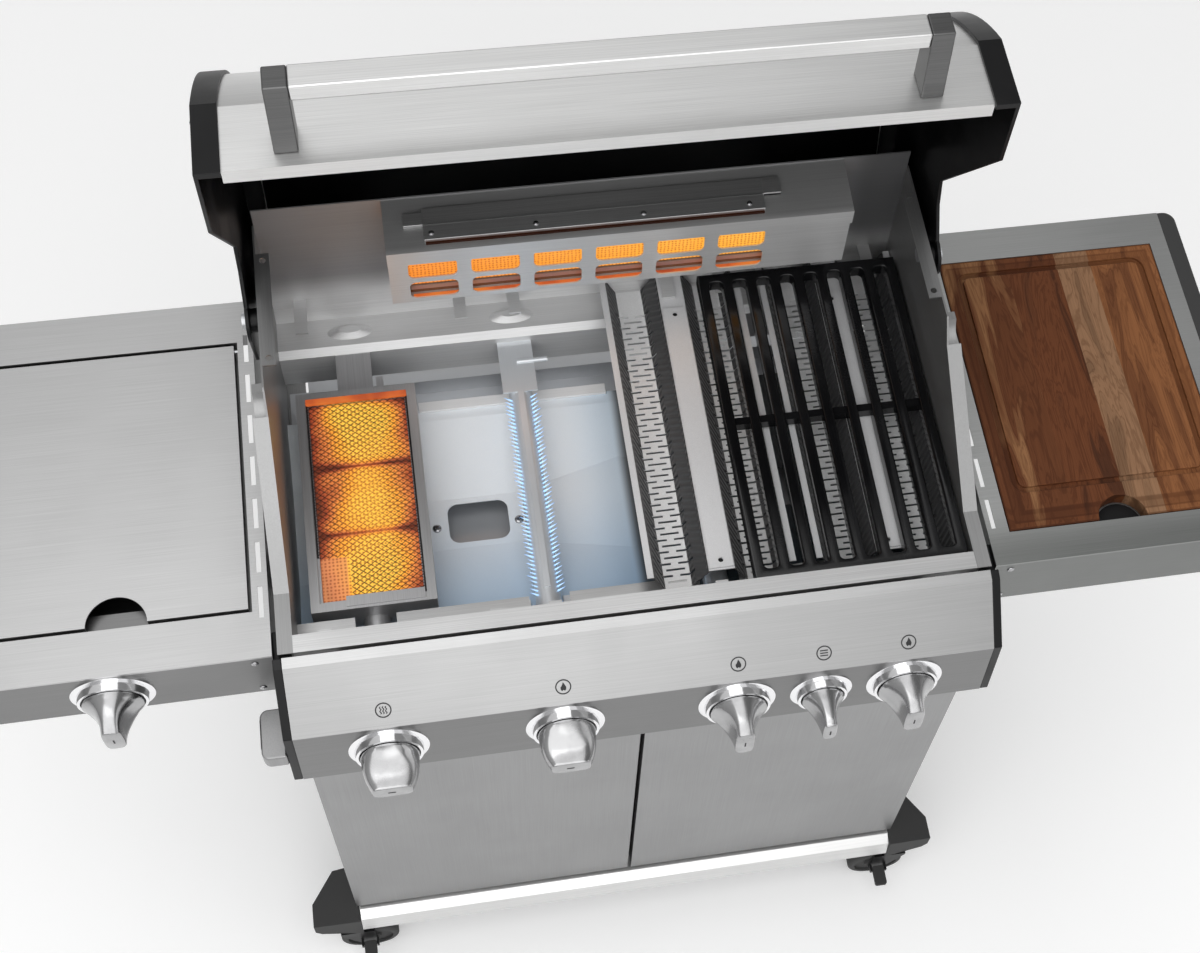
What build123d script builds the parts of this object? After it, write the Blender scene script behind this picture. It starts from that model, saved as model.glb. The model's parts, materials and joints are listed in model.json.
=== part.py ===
from build123d import *
from math import atan2, cos, radians, sin, sqrt
import os

os.makedirs("parts", exist_ok=True)

# Gas barbecue grill on a cabinet cart, drawn in millimetres with its hood open.
# X runs to the right, Y to the back and Z up from the floor.
# While the pieces are drawn, Y = 0 is the front face of the firebox rim.
# The last step moves every piece so that the origin lies on the floor under the middle of the grill.

# Sheet metal and clearances
SHEET = 1.5
WALL = 2.0
RUNNING_FIT = 0.05
MOVING_GAP = 0.5
LOOSE_GAP = 1.0

# Casters
WHEEL_DIAMETER = 80.0
WHEEL_WIDTH = 26.0
WHEEL_ROUND = 5.0
HUB_DIAMETER = 30.0
HUB_RECESS = 4.0
TYRE_DEPTH = 9.0
AXLE_DIAMETER = 8.0
CASTER_TRAIL = 28.0
SWIVEL_DIAMETER = 12.0
SWIVEL_LENGTH = 30.0
FORK_LEG = 4.0
FORK_BRIDGE = 6.0
FORK_CLEARANCE = 4.0
FORK_SIDE_GAP = 1.5
FORK_HUB = 22.0
FORK_PLATE = 46.0
PEDAL_WIDTH = 17.0
PEDAL_LENGTH = 28.0
PEDAL_THICKNESS = 6.0
PEDAL_ROUND = 6.0
PEDAL_PIN = 4.0
PEDAL_LUG = 3.0
PEDAL_RISE = 13.0

# Cart
FOOT_DROP = 17.5
FOOT_REACH = 62.0
FOOT_SLOPE = 24.0
FOOT_WRAP = 40.0
FOOT_CHAMFER = 8.0
RAIL_HEIGHT = 40.0
RAIL_NOSE = 40.0
RAIL_LEDGE = 23.0
RAIL_BEVEL = (13.0, 7.0)
RAIL_HEM = 18.0
RAIL_INSET = 3.0
CABINET_MARGIN = 8.0
CABINET_SET_BACK = 28.0
CABINET_DEPTH = 440.0
CABINET_HEIGHT = 662.0
CABINET_RETURN = 20.0
FLOOR_RISE = 42.0
BACK_HEIGHT = 440.0
BACK_INSET = 5.0
BACK_VENT = (130.0, 10.0)
BACK_VENTS = (3, 4)
BACK_VENT_PITCH = (200.0, 40.0)
DOOR_THICKNESS = 17.0
DOOR_STANDOFF = 3.0
DOOR_CLEARANCE = 8.0
DOOR_MEETING_GAP = 5.0
DOOR_PIN = 6.0
DOOR_PIVOT = 5.5
DOOR_STILE = 11.0
DOOR_PIN_DEPTH = 14.0
HEADER_DEPTH = 45.0

# Firebox
BOX_HALF = 365.0
BOX_HEIGHT = 143.0
BOX_DEPTH = 450.0
RIM_WIDTH = 20.0
RIM_FLANGE = 14.0
BOX_FOOT = 22.0
SLOPE_START = 68.0
SLOPE_RUN = 157.0
SLOPE_RISE = 96.0
EAR_RISE = 122.0
EAR_LEAN = 20.0
BACK_RISE = 149.0
SHELF_HEIGHT = 80.0
SHELF_DEPTH = 53.0
SHELF_NOSE = (8.0, 7.0)
WALL_FOLD = (5.5, 22.0)
EYE_BASE = (26.0, 10.5)
EYE_CROWN = (12.0, 5.0)
EYE_RISE = 6.0
FRONT_LEDGE = 40.0
LEDGE_NOTCH = 44.0
REAR_SKIRT = 60.0
RACK_RAIL = 14.0
RACK_RAIL_LENGTH = 141.0
RACK_RAIL_REAR_GAP = 38.0
RACK_HOLE = 7.0
RACK_HOLE_INSET = 9.0
STOP_WIDTH = 12.0
STOP_LENGTH = 34.0
STOP_RISE = 12.0
STOP_DROP = 24.0
STOP_CREST = 0.7
HANGER = (40.0, 6.0)
HANGER_PLACES = (110.0, 300.0)
HANGER_DROP = 66.0
FUNNEL_INSET = 60.0
FUNNEL_HEM = 15.0
FUNNEL_LOW = 8.0
FUNNEL_RISE = 20.0
FUNNEL_FLAT = (96.0, 64.0)
FUNNEL_FLAT_FRONT = 163.0
FUNNEL_SIDE_RISE = 6.0
FUNNEL_SPLIT = 12.0
DRAIN = (69.0, 50.0)
DRAIN_X = -158.0
DRAIN_ROUND = 12.0
TRAY_HEIGHT = 29.0
TRAY_SIDE_GAP = 3.0
TRAY_LIP = 4.0
TRAY_FRONT = 30.0
TRAY_GRIP = 16.0

# Burners
BURNER_HEIGHT = 50.0
TUBE_DIAMETER = 28.0
TUBE_BORE = 22.0
TUBE_BORE_DEPTH = 40.0
TUBE_FRONT = -6.0
TUBE_REAR_GAP = 57.0
BRACKET_WIDTH = 40.0
BRACKET_GRIP = 12.0
IGNITER_DIAMETER = 6.0
IGNITER_LENGTH = 26.0
TUBE_CREST = (7.0, 1.6)
TUBE_CREST_FRONT = 76.0
SEAR_HALF = 67.0
SEAR_FRONT = 68.0
SEAR_REAR_GAP = 56.0
SEAR_HEIGHT = 56.0
SEAR_DROP = 20.0
SEAR_RIM = 10.0
SEAR_CLIP = (84.0, 12.0)
SEAR_CLIP_PLACE = (-29.0, 3.0)
SEAR_IGNITER = (8.0, 17.0, 10.0)
SEAR_IGNITER_PLACE = (24.0, 6.0)
MESH_DROP = 3.0
MESH_THICKNESS = 1.5
MESH_LEDGE = 3.0
MESH_COLUMNS = 6
MESH_ROWS = 12
MESH_WIRE = 2.4
TILE_DROP = 9.0
TILE_THICKNESS = 12.0
TILE_LEDGE = 6.0
TILE_COUNT = 3
TAMER_HALF = 82.0
TAMER_RISE = 33.0
TAMER_FLAT = (31.0, 61.0)
TAMER_HEM = 6.0
TAMER_FRONT = 48.0
TAMER_REAR_GAP = 10.0
TAMER_SLOT = (21.0, 2.6)
TAMER_SLOTS = 24
TAMER_EDGE_SLOT = (11.0, 5.0)
TAMER_EDGE_RISE = 16.0
TAMER_PLAIN_END = 36.0
RIDGE_HALF = 13.0
RIDGE_THICKNESS = 2.0
RIDGE_FRONT = 50.0
RIDGE_REAR_GAP = 61.0
RIDGE_HOLE = 6.0
RIDGE_HOLE_INSET = 9.0
GRATE_REST = 118.0
GRATE_TAB = (14.0, 14.0)
GRATE_TAB_SPREAD = 90.0
GRATE_SIDE_GAP = 3.0
GRATE_FRONT_GAP = 2.0
GRATE_REAR_GAP = 34.0
GRATE_HEIGHT = 17.6
GRATE_BAR = 11.5
GRATE_GAPS = 8
GRATE_FRAME = 12.0

# Rear burner
REAR_BURNER_LEFT = -226.0
REAR_BURNER_RIGHT = 286.0
REAR_BURNER_DEPTH = 60.0
REAR_BURNER_RISE = 37.0
REAR_BURNER_FACE = 80.0
REAR_HEM_HEIGHT = 22.0
REAR_HEM_STEP = 6.0
REAR_ROOF_RISE = 8.0
WINDOW = (53.0, 30.0)
WINDOW_ROUND = 8.0
WINDOW_PITCH = 68.4
WINDOW_COLUMNS = 6
WINDOW_MARGIN = 21.0
WINDOW_SILL = 7.0
WINDOW_ROW_GAP = 8.0
REAR_TILE_SET_BACK = 12.0
REAR_TILES = 3

# Control panel, knobs and gas supply
PANEL_END = 9.5
PANEL_GAP = 6.0
PANEL_LIP = 22.0
PANEL_TOP = 4.0
PANEL_NOSE = (11.0, 3.0)
PANEL_SLOPE = (56.0, 55.0)
PANEL_FACE = (9.0, 94.0)
PANEL_RETURN = (20.0, 2.0)
PANEL_END_REACH = 30.0
PANEL_END_CLEARANCE = 8.0
KNOB_FACE_SHARE = 0.48
KNOB_SLOTS = (-3, -1, 1, 2, 3)
SMALL_KNOB_SLOT = 2
TURNED_SLOTS = (-3, -1)
KNOB_TURN = 90.0
KNOB_LARGE = 62.0
KNOB_SMALL = 46.0
KNOB_BASE = 13.0
KNOB_LIFT = 5.5
KNOB_FIN_RISE = 42.0
KNOB_FIN_WIDTH = 24.0
KNOB_FIN_INSET = 2.0
KNOB_FIN_SLOPE = 4.0
KNOB_ROUND = 4.0
BEZEL_PLAY = 1.5
BEZEL_RING = 4.0
BEZEL_FLANGE = 6.0
BEZEL_FLANGE_HEIGHT = 2.5
BEZEL_HEIGHT = 10.0
STEM_DIAMETER = 8.0
STEM_INSIDE = 32.0
STEM_IN_KNOB = 18.0
STEM_HOLE = 14.0
VALVE_DIAMETER = 24.0
VALVE_SET_BACK = 16.0
VALVE_LENGTH = 34.0
VALVE_BORE = 22.0
MANIFOLD = 22.0
MANIFOLD_STANDOFF = 13.0
MANIFOLD_LUG = 20.0
ORIFICE_DIAMETER = 10.0
ORIFICE_LENGTH = 15.0
OPENER = (26.0, 56.0, 24.0)
OPENER_DROP = 111.0
OPENER_BACK = -22.0
OPENER_MOUTH = (12.0, 26.0)
OPENER_ROUND = 9.0

# Tables
TABLE_STEP = 1.0
TABLE_LENGTH = 308.0
TABLE_DEPTH = 437.0
TABLE_SKIRT = 88.0
END_CAP = 20.0
END_CAP_WALL = 3.0
END_CAP_ROUND = 14.0
TABLE_VENT = (5.0, 36.0)
TABLE_VENTS = 7
TABLE_VENT_PITCH = 52.0
TABLE_VENT_INSET = 8.0
BOARD_INSET = 25.0
BOARD_FRONT = 39.0
BOARD = (261.0, 354.0, 20.0)
BOARD_PROUD = 1.0
BOARD_NOTCH = 28.0
BOARD_GROOVE_INSET = 16.0
BOARD_GROOVE = (7.0, 4.0)
LID_INSET = 21.0
LID_FRONT = 56.0
LID = (265.0, 323.0, 12.0)
LID_GAP = 4.0
LID_NOTCH = 31.0
LID_PIVOT = 5.0
LID_PIN = 4.0
REBATE_DEPTH = 16.0
WELL_INSET = 24.0
WELL_DEPTH = 44.0
RING_DIAMETER = 76.0
RING_HEIGHT = 18.0
CROWN_DIAMETER = 56.0
CROWN_HEIGHT = 8.0
TRIVET_BAR = (8.0, 9.0)
TRIVET_SPACING = 90.0
TRIVET_OVERHANG = 6.0
SIDE_KNOB_INSET = 166.5
SIDE_KNOB_DROP = 46.0

# Hood
HINGE_FROM_BACK = 102.0
HINGE_RISE = 92.0
HINGE_PIN = 10.0
HINGE_PLAY = 0.2
HINGE_HEAD = 18.0
HINGE_HEAD_HEIGHT = 4.5
HINGE_NUT = 16.0
HINGE_NUT_HEIGHT = 6.0
HINGE_BOSS = 26.0
OPEN_ANGLE = 90.0
HOOD_INSET = 10.0
HOOD_LIFT = 12.0
HOOD_OVERHANG = 11.0
HOOD_HEM = 17.0
HOOD_FACE = 73.0
HOOD_RADIUS = 350.0
HOOD_CROWN_END = (125.0, 146.0)
HOOD_SKIRT_END = (132.0, 112.0)
CAP_WIDTH = 24.0
CAP_PROUD = 4.0
CAP_RIM = 8.0
CAP_PLATE = 4.0
CAP_NOTCH = (-89.0, 33.0)
CAP_DIP = (-58.0, 24.0)
CAP_EAR = 24.0
CAP_TAIL = (64.0, -9.0)
HANDLE_HALF = 308.0
HANDLE_POST = 22.0
HANDLE_REACH = 79.0
HANDLE_RISE = 14.0
HANDLE_FOOT = 32.0
HANDLE_LEAN = 8.0
HANDLE_BAR = (18.0, 26.0)

# Heights that follow from the stack of pieces
WHEEL_RADIUS = WHEEL_DIAMETER / 2
CASTER_HEIGHT = WHEEL_DIAMETER + FORK_CLEARANCE + FORK_BRIDGE
FOOT_BOTTOM = CASTER_HEIGHT + MOVING_GAP
RAIL_BOTTOM = FOOT_BOTTOM + FOOT_DROP
RAIL_TOP = RAIL_BOTTOM + RAIL_HEIGHT
FLOOR_TOP = RAIL_BOTTOM + FLOOR_RISE
CABINET_TOP = RAIL_BOTTOM + CABINET_HEIGHT
RIM_TOP = CABINET_TOP + BOX_HEIGHT
TABLE_TOP = RIM_TOP - TABLE_STEP
TABLE_BOTTOM = TABLE_TOP - TABLE_SKIRT
SHELF_TOP = CABINET_TOP + SHELF_HEIGHT
GRATE_BOTTOM = CABINET_TOP + GRATE_REST
BURNER_Z = CABINET_TOP + BURNER_HEIGHT
HINGE_Z = RIM_TOP + HINGE_RISE

# Widths and depths that follow from the firebox
BOX_INSIDE = BOX_HALF - WALL
CABINET_HALF = BOX_HALF + CABINET_MARGIN
CABINET_FRONT = -CABINET_SET_BACK
CABINET_REAR = CABINET_FRONT + CABINET_DEPTH
CABINET_MIDDLE = (CABINET_FRONT + CABINET_REAR) / 2
RAIL_HALF = CABINET_HALF - RAIL_INSET
HOOD_HALF = BOX_HALF - HOOD_INSET
CAP_OUTER = HOOD_HALF + CAP_WIDTH
HINGE_HEAD_X = CAP_OUTER + MOVING_GAP
TABLE_INNER = HINGE_HEAD_X + HINGE_HEAD_HEIGHT + MOVING_GAP
TABLE_OUTER = TABLE_INNER + TABLE_LENGTH
PANEL_HALF = TABLE_INNER - PANEL_END
BACK_FACE = BOX_DEPTH - SHEET
SHELF_FRONT = BOX_DEPTH - SHELF_DEPTH
HINGE_Y = BOX_DEPTH - HINGE_FROM_BACK
HINGE_AXIS = Axis((0, HINGE_Y, HINGE_Z), (1, 0, 0))
BURNER_PITCH = (BOX_INSIDE - LOOSE_GAP - TAMER_HALF) / 3
BURNER_SLOTS = (-3, -1, 1, 3)
SEAR_SLOT = -3
TAMER_CENTRES = (BURNER_PITCH, 3 * BURNER_PITCH)
SEAR_X = SEAR_SLOT * BURNER_PITCH
SEAR_REAR = SHELF_FRONT - SEAR_REAR_GAP
SEAR_BOTTOM = BURNER_Z - SEAR_DROP
SEAR_TOP = SEAR_BOTTOM + SEAR_HEIGHT
MESH_BOTTOM = SEAR_TOP - MESH_DROP - MESH_THICKNESS
TILE_BOTTOM = SEAR_TOP - TILE_DROP - TILE_THICKNESS
GRATE_X = 2 * BOX_INSIDE / 3
GRATE_HALF = BOX_INSIDE / 3 - GRATE_SIDE_GAP
GRATE_FRONT = RIM_WIDTH + GRATE_FRONT_GAP
GRATE_REAR = BOX_DEPTH - GRATE_REAR_GAP
REAR_BURNER_FRONT = BACK_FACE - REAR_BURNER_DEPTH
REAR_BURNER_BOTTOM = RIM_TOP + REAR_BURNER_RISE
REAR_BURNER_TOP = REAR_BURNER_BOTTOM + REAR_BURNER_FACE

# Caster, door, lid and board places
FORK_INSIDE = WHEEL_WIDTH / 2 + FORK_SIDE_GAP
FORK_OUTSIDE = FORK_INSIDE + FORK_LEG
PEDAL_Y = -FORK_OUTSIDE - PEDAL_THICKNESS
PEDAL_Z = WHEEL_RADIUS + PEDAL_RISE
CASTER_X = CABINET_HALF + RAIL_NOSE / 2
CASTER_FRONT_Y = CABINET_FRONT - RAIL_NOSE / 2
CASTER_REAR_Y = CABINET_REAR + RAIL_NOSE / 2
LID_RIGHT = -TABLE_INNER - LID_INSET
LID_LEFT = LID_RIGHT - LID[0]
LID_MIDDLE = (LID_LEFT + LID_RIGHT) / 2
LID_BACK = LID_FRONT + LID[1]
LID_AXIS_Y = LID_BACK - LID_PIVOT
LID_AXIS_Z = TABLE_TOP - LID_PIVOT
REBATE_FLOOR = TABLE_TOP - REBATE_DEPTH
WELL_FLOOR = REBATE_FLOOR - WELL_DEPTH
BOARD_LEFT = TABLE_INNER + BOARD_INSET
BOARD_RIGHT = BOARD_LEFT + BOARD[0]
BOARD_BACK = BOARD_FRONT + BOARD[1]
BOARD_TOP = TABLE_TOP + BOARD_PROUD
BOARD_BOTTOM = BOARD_TOP - BOARD[2]

# Corners of the control panel section, from its back lip to its bottom return
PANEL_EDGE = (-PANEL_GAP, RIM_TOP + PANEL_TOP)
PANEL_BACK = (-PANEL_GAP, PANEL_EDGE[1] - PANEL_LIP)
PANEL_BEND = (PANEL_EDGE[0] - PANEL_NOSE[0], PANEL_EDGE[1] - PANEL_NOSE[1])
PANEL_CREASE = (PANEL_BEND[0] - PANEL_SLOPE[0], PANEL_BEND[1] - PANEL_SLOPE[1])
PANEL_FOOT = (PANEL_CREASE[0] - PANEL_FACE[0], PANEL_CREASE[1] - PANEL_FACE[1])
PANEL_HOOK = (PANEL_FOOT[0] + PANEL_RETURN[0], PANEL_FOOT[1] - PANEL_RETURN[1])
KNOB_Y = PANEL_CREASE[0] - PANEL_FACE[0] * KNOB_FACE_SHARE
KNOB_Z = PANEL_CREASE[1] - PANEL_FACE[1] * KNOB_FACE_SHARE
KNOB_TILT = atan2(PANEL_FACE[0], PANEL_FACE[1])
KNOB_AXIS = (0, -cos(KNOB_TILT), sin(KNOB_TILT))
SIDE_KNOB_X = -TABLE_INNER - SIDE_KNOB_INSET
SIDE_KNOB_Z = TABLE_TOP - SIDE_KNOB_DROP

# Doors hang below the control panel and the firebox
DOOR_BOTTOM = RAIL_TOP + DOOR_CLEARANCE
DOOR_TOP = min(PANEL_HOOK[1], CABINET_TOP) - DOOR_CLEARANCE
DOOR_BACK = CABINET_FRONT - DOOR_STANDOFF
DOOR_FRONT = DOOR_BACK - DOOR_THICKNESS
DOOR_AXIS_X = CABINET_HALF - DOOR_PIVOT
DOOR_AXIS_Y = DOOR_BACK - DOOR_PIVOT

# Corners of the closed hood's section
HOOD_HEM_END = (HOOD_HEM - HOOD_OVERHANG, RIM_TOP + HOOD_LIFT)
HOOD_LIP = (-HOOD_OVERHANG, RIM_TOP + HOOD_LIFT)
HOOD_SHOULDER = (-HOOD_OVERHANG, HOOD_LIP[1] + HOOD_FACE)
HOOD_CROWN = (HINGE_Y + HOOD_CROWN_END[0], HINGE_Z + HOOD_CROWN_END[1])
HOOD_SKIRT = (HINGE_Y + HOOD_SKIRT_END[0], HINGE_Z + HOOD_SKIRT_END[1])


def block(x, y, z):
    """Box that fills the ranges x, y and z, each given as a pair."""
    middle = [(start + end) / 2 for start, end in (x, y, z)]
    size = [abs(end - start) for start, end in (x, y, z)]
    return Pos(*middle) * Box(*size)


def polygon(*points):
    """Flat face with straight sides between the points."""
    return make_face(Polyline(*points, close=True))


def sheet(*points, side=Side.LEFT, thickness=SHEET):
    """Section of a folded sheet that lies on one side of its outer line."""
    line = Polyline(*points)
    return make_face(offset(line, thickness, side=side, kind=Kind.INTERSECTION))


def along_x(section, x):
    """Solid between two X values, from a section drawn in Y and Z."""
    return extrude(Plane.YZ.offset(min(x)) * section, amount=abs(x[1] - x[0]))


def along_y(section, y):
    """Solid between two Y values, from a section drawn in X and Z."""
    return extrude(Plane.XZ.offset(-max(y)) * section, amount=abs(y[1] - y[0]))


def along_z(section, z):
    """Solid between two Z values, from a section drawn in X and Y."""
    return extrude(Plane.XY.offset(min(z)) * section, amount=abs(z[1] - z[0]))


def rod_x(diameter, x, y, z):
    """Round rod along X between two X values."""
    return along_x(Pos(y, z) * Circle(diameter / 2), x)


def rod_y(diameter, x, y, z):
    """Round rod along Y between two Y values."""
    return along_y(Pos(x, z) * Circle(diameter / 2), y)


def rod_z(diameter, x, y, z):
    """Round rod along Z between two Z values."""
    return along_z(Pos(x, y) * Circle(diameter / 2), z)


def mirrored(shape):
    """The same piece on the left side of the grill."""
    return mirror(shape, about=Plane.YZ)


def at_rear(shape):
    """The same piece at the back of the cabinet."""
    return mirror(shape, about=Plane.XZ.offset(-CABINET_MIDDLE))


def group(*shapes):
    """Separate solids that share one node."""
    return Compound([solid for shape in shapes for solid in shape.solids()])


def pedal_lug(side):
    """One of the two lugs on a fork leg that hold the brake pedal's pin."""
    near = side * (PEDAL_WIDTH / 2 + MOVING_GAP)
    far = near + side * PEDAL_LUG
    lug = block((near, far), (PEDAL_Y - PEDAL_PIN, -FORK_OUTSIDE), (PEDAL_Z - PEDAL_PIN, PEDAL_Z + PEDAL_PIN))
    lug -= rod_x(PEDAL_PIN + 2 * RUNNING_FIT, (near, far), PEDAL_Y, PEDAL_Z)
    return Pos(-CASTER_TRAIL, 0, 0) * lug


def caster_fork(with_pedal):
    """Fork of a right-hand caster about its swivel axis, with its axle and swivel pin."""
    hub = Pos(-CASTER_TRAIL, WHEEL_RADIUS) * Circle(FORK_HUB / 2)
    bridge = Pos(-CASTER_TRAIL / 2, CASTER_HEIGHT - FORK_BRIDGE / 2) * Rectangle(FORK_PLATE, FORK_BRIDGE)
    leg = along_y(make_hull(hub.edges() + bridge.edges()), (FORK_INSIDE, FORK_OUTSIDE))
    fork = leg + mirror(leg, about=Plane.XZ) + along_y(bridge, (-FORK_OUTSIDE, FORK_OUTSIDE))
    fork += rod_y(AXLE_DIAMETER, -CASTER_TRAIL, (-FORK_OUTSIDE, FORK_OUTSIDE), WHEEL_RADIUS)
    fork += rod_z(SWIVEL_DIAMETER, 0, 0, (CASTER_HEIGHT, CASTER_HEIGHT + SWIVEL_LENGTH))
    if with_pedal:
        fork += pedal_lug(-1)
        fork += pedal_lug(1)
    return fork


def caster_wheel():
    """Wheel of a right-hand caster with a recessed disc, about the swivel axis."""
    wheel = Cylinder(WHEEL_RADIUS, WHEEL_WIDTH)
    wheel = fillet(wheel.edges().filter_by(GeomType.CIRCLE), WHEEL_ROUND)
    recess = Cylinder(WHEEL_RADIUS - TYRE_DEPTH, HUB_RECESS) - Cylinder(HUB_DIAMETER / 2, HUB_RECESS)
    for side in (-1, 1):
        wheel -= Pos(0, 0, side * (WHEEL_WIDTH - HUB_RECESS) / 2) * recess
    wheel -= Cylinder(AXLE_DIAMETER / 2 + RUNNING_FIT, WHEEL_WIDTH)
    return Pos(-CASTER_TRAIL, 0, WHEEL_RADIUS) * Rot(90, 0, 0) * wheel


def brake_pedal():
    """Foot pedal with its pin, in front of a right-hand caster's wheel."""
    middle = PEDAL_Y + PEDAL_THICKNESS / 2 - PEDAL_LENGTH / 2
    plate = Pos(0, middle) * RectangleRounded(PEDAL_WIDTH, PEDAL_LENGTH, PEDAL_ROUND / 2)
    pedal = along_z(plate, (PEDAL_Z - PEDAL_THICKNESS / 2, PEDAL_Z + PEDAL_THICKNESS / 2))
    pin_half = PEDAL_WIDTH / 2 + MOVING_GAP + PEDAL_LUG
    pedal += rod_x(PEDAL_PIN, (-pin_half, pin_half), PEDAL_Y, PEDAL_Z)
    return Pos(-CASTER_TRAIL, 0, 0) * pedal


def corner_foot():
    """Moulded foot at the front right corner, bored for the caster's swivel pin."""
    outer = CABINET_HALF + FOOT_REACH
    nose = CABINET_FRONT - RAIL_NOSE
    wrap = CABINET_FRONT + FOOT_WRAP
    plan = polygon(
        (RAIL_HALF, nose), (outer, nose + FOOT_CHAMFER), (outer, CABINET_FRONT),
        (outer - FOOT_REACH / 2, wrap), (CABINET_HALF, wrap), (CABINET_HALF, CABINET_FRONT),
        (RAIL_HALF, CABINET_FRONT))
    front = polygon(
        (RAIL_HALF, FOOT_BOTTOM), (outer - FOOT_CHAMFER, FOOT_BOTTOM), (outer, FOOT_BOTTOM + FOOT_CHAMFER),
        (outer, RAIL_TOP - FOOT_SLOPE), (CABINET_HALF, RAIL_TOP), (RAIL_HALF, RAIL_TOP))
    foot = along_z(plan, (FOOT_BOTTOM, RAIL_TOP)) & along_y(front, (nose, wrap))
    bore_top = CASTER_HEIGHT + SWIVEL_LENGTH + MOVING_GAP
    return foot - rod_z(SWIVEL_DIAMETER + 2 * RUNNING_FIT, CASTER_X, CASTER_FRONT_Y, (FOOT_BOTTOM, bore_top))


def front_rail():
    """Brushed rail with a bevelled nose along the cabinet's front."""
    section = sheet(
        (CABINET_FRONT, RAIL_TOP),
        (CABINET_FRONT - RAIL_LEDGE, RAIL_TOP),
        (CABINET_FRONT - RAIL_LEDGE - RAIL_BEVEL[0], RAIL_TOP - RAIL_BEVEL[1]),
        (CABINET_FRONT - RAIL_NOSE, RAIL_BOTTOM),
        (CABINET_FRONT - RAIL_NOSE + RAIL_HEM, RAIL_BOTTOM))
    return along_x(section, (-RAIL_HALF, RAIL_HALF))


def cabinet_floor():
    """Floor sheet with its front and rear edges folded down."""
    front = CABINET_FRONT + SHEET
    rear = CABINET_REAR - SHEET
    section = sheet((rear, RAIL_BOTTOM), (rear, FLOOR_TOP), (front, FLOOR_TOP), (front, RAIL_BOTTOM))
    inside = CABINET_HALF - SHEET
    return along_x(section, (-inside, inside))


def cabinet_side():
    """Right side panel with folded front and rear returns."""
    inner = CABINET_HALF - CABINET_RETURN
    section = sheet(
        (inner, CABINET_FRONT), (CABINET_HALF, CABINET_FRONT),
        (CABINET_HALF, CABINET_REAR), (inner, CABINET_REAR))
    return along_z(section, (RAIL_BOTTOM, CABINET_TOP))


def cabinet_back():
    """Lower back panel with rows of vent slots."""
    half = CABINET_HALF - BACK_INSET
    low = RAIL_BOTTOM
    panel = block((-half, half), (CABINET_REAR, CABINET_REAR + SHEET), (low, low + BACK_HEIGHT))
    for place in GridLocations(*BACK_VENT_PITCH, *BACK_VENTS):
        slot = Pos(0, low + BACK_HEIGHT / 2) * place * SlotOverall(*BACK_VENT)
        panel -= along_y(slot, (CABINET_REAR, CABINET_REAR + SHEET))
    return panel


def door():
    """Right door, a folded tray with a stile that is bored for the hinge pins."""
    inner = DOOR_MEETING_GAP / 2
    tray = block((inner, CABINET_HALF), (DOOR_FRONT, DOOR_BACK), (DOOR_BOTTOM, DOOR_TOP))
    tray -= block((inner + SHEET, CABINET_HALF - DOOR_STILE), (DOOR_FRONT + SHEET, DOOR_BACK),
                  (DOOR_BOTTOM + SHEET, DOOR_TOP - SHEET))
    bore = DOOR_PIN + 2 * RUNNING_FIT
    tray -= rod_z(bore, DOOR_AXIS_X, DOOR_AXIS_Y, (DOOR_BOTTOM, DOOR_BOTTOM + DOOR_PIN_DEPTH))
    tray -= rod_z(bore, DOOR_AXIS_X, DOOR_AXIS_Y, (DOOR_TOP - DOOR_PIN_DEPTH, DOOR_TOP))
    return tray


def hinge_pins():
    """Hood bolts, door pins and side burner lid pins."""
    inner = BOX_INSIDE - HINGE_NUT_HEIGHT
    head = HINGE_HEAD_X
    bolt = rod_x(HINGE_PIN, (inner, head), HINGE_Y, HINGE_Z)
    bolt += rod_x(HINGE_NUT, (inner, BOX_INSIDE), HINGE_Y, HINGE_Z)
    bolt += rod_x(HINGE_HEAD, (head, head + HINGE_HEAD_HEIGHT), HINGE_Y, HINGE_Z)
    low_end = DOOR_BOTTOM + DOOR_PIN_DEPTH - MOVING_GAP
    high_end = DOOR_TOP - DOOR_PIN_DEPTH + MOVING_GAP
    low_pin = rod_z(DOOR_PIN, DOOR_AXIS_X, DOOR_AXIS_Y, (RAIL_TOP, low_end))
    high_pin = rod_z(DOOR_PIN, DOOR_AXIS_X, DOOR_AXIS_Y, (high_end, CABINET_TOP))
    pairs = [bolt, low_pin, high_pin]
    pin_reach = LID_GAP + SHEET
    lid_pins = [
        rod_x(LID_PIN, (LID_LEFT - LID_GAP, LID_LEFT - LID_GAP + pin_reach), LID_AXIS_Y, LID_AXIS_Z),
        rod_x(LID_PIN, (LID_RIGHT + LID_GAP - pin_reach, LID_RIGHT + LID_GAP), LID_AXIS_Y, LID_AXIS_Z)]
    return group(*pairs, *[mirrored(pin) for pin in pairs], *lid_pins)


def stop_bracket():
    """Wavy-edged bracket behind the sloping flange, on which the hood's notch closes."""
    start = SLOPE_START + SLOPE_RUN
    top = RIM_TOP + SLOPE_RISE + STOP_RISE
    low = RIM_TOP + SLOPE_RISE - STOP_DROP
    middle = (low + top) / 2
    edge = Polyline((start + STOP_LENGTH, low), (start, low), (start, middle))
    crest = start + STOP_LENGTH * STOP_CREST
    wave = Spline((start, middle), (start + STOP_LENGTH / 2, top - STOP_RISE), (crest, top))
    rest = Polyline((crest, top), (start + STOP_LENGTH, top), (start + STOP_LENGTH, low))
    return along_x(make_face(edge + wave + rest), (BOX_HALF, BOX_HALF + STOP_WIDTH))


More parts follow.
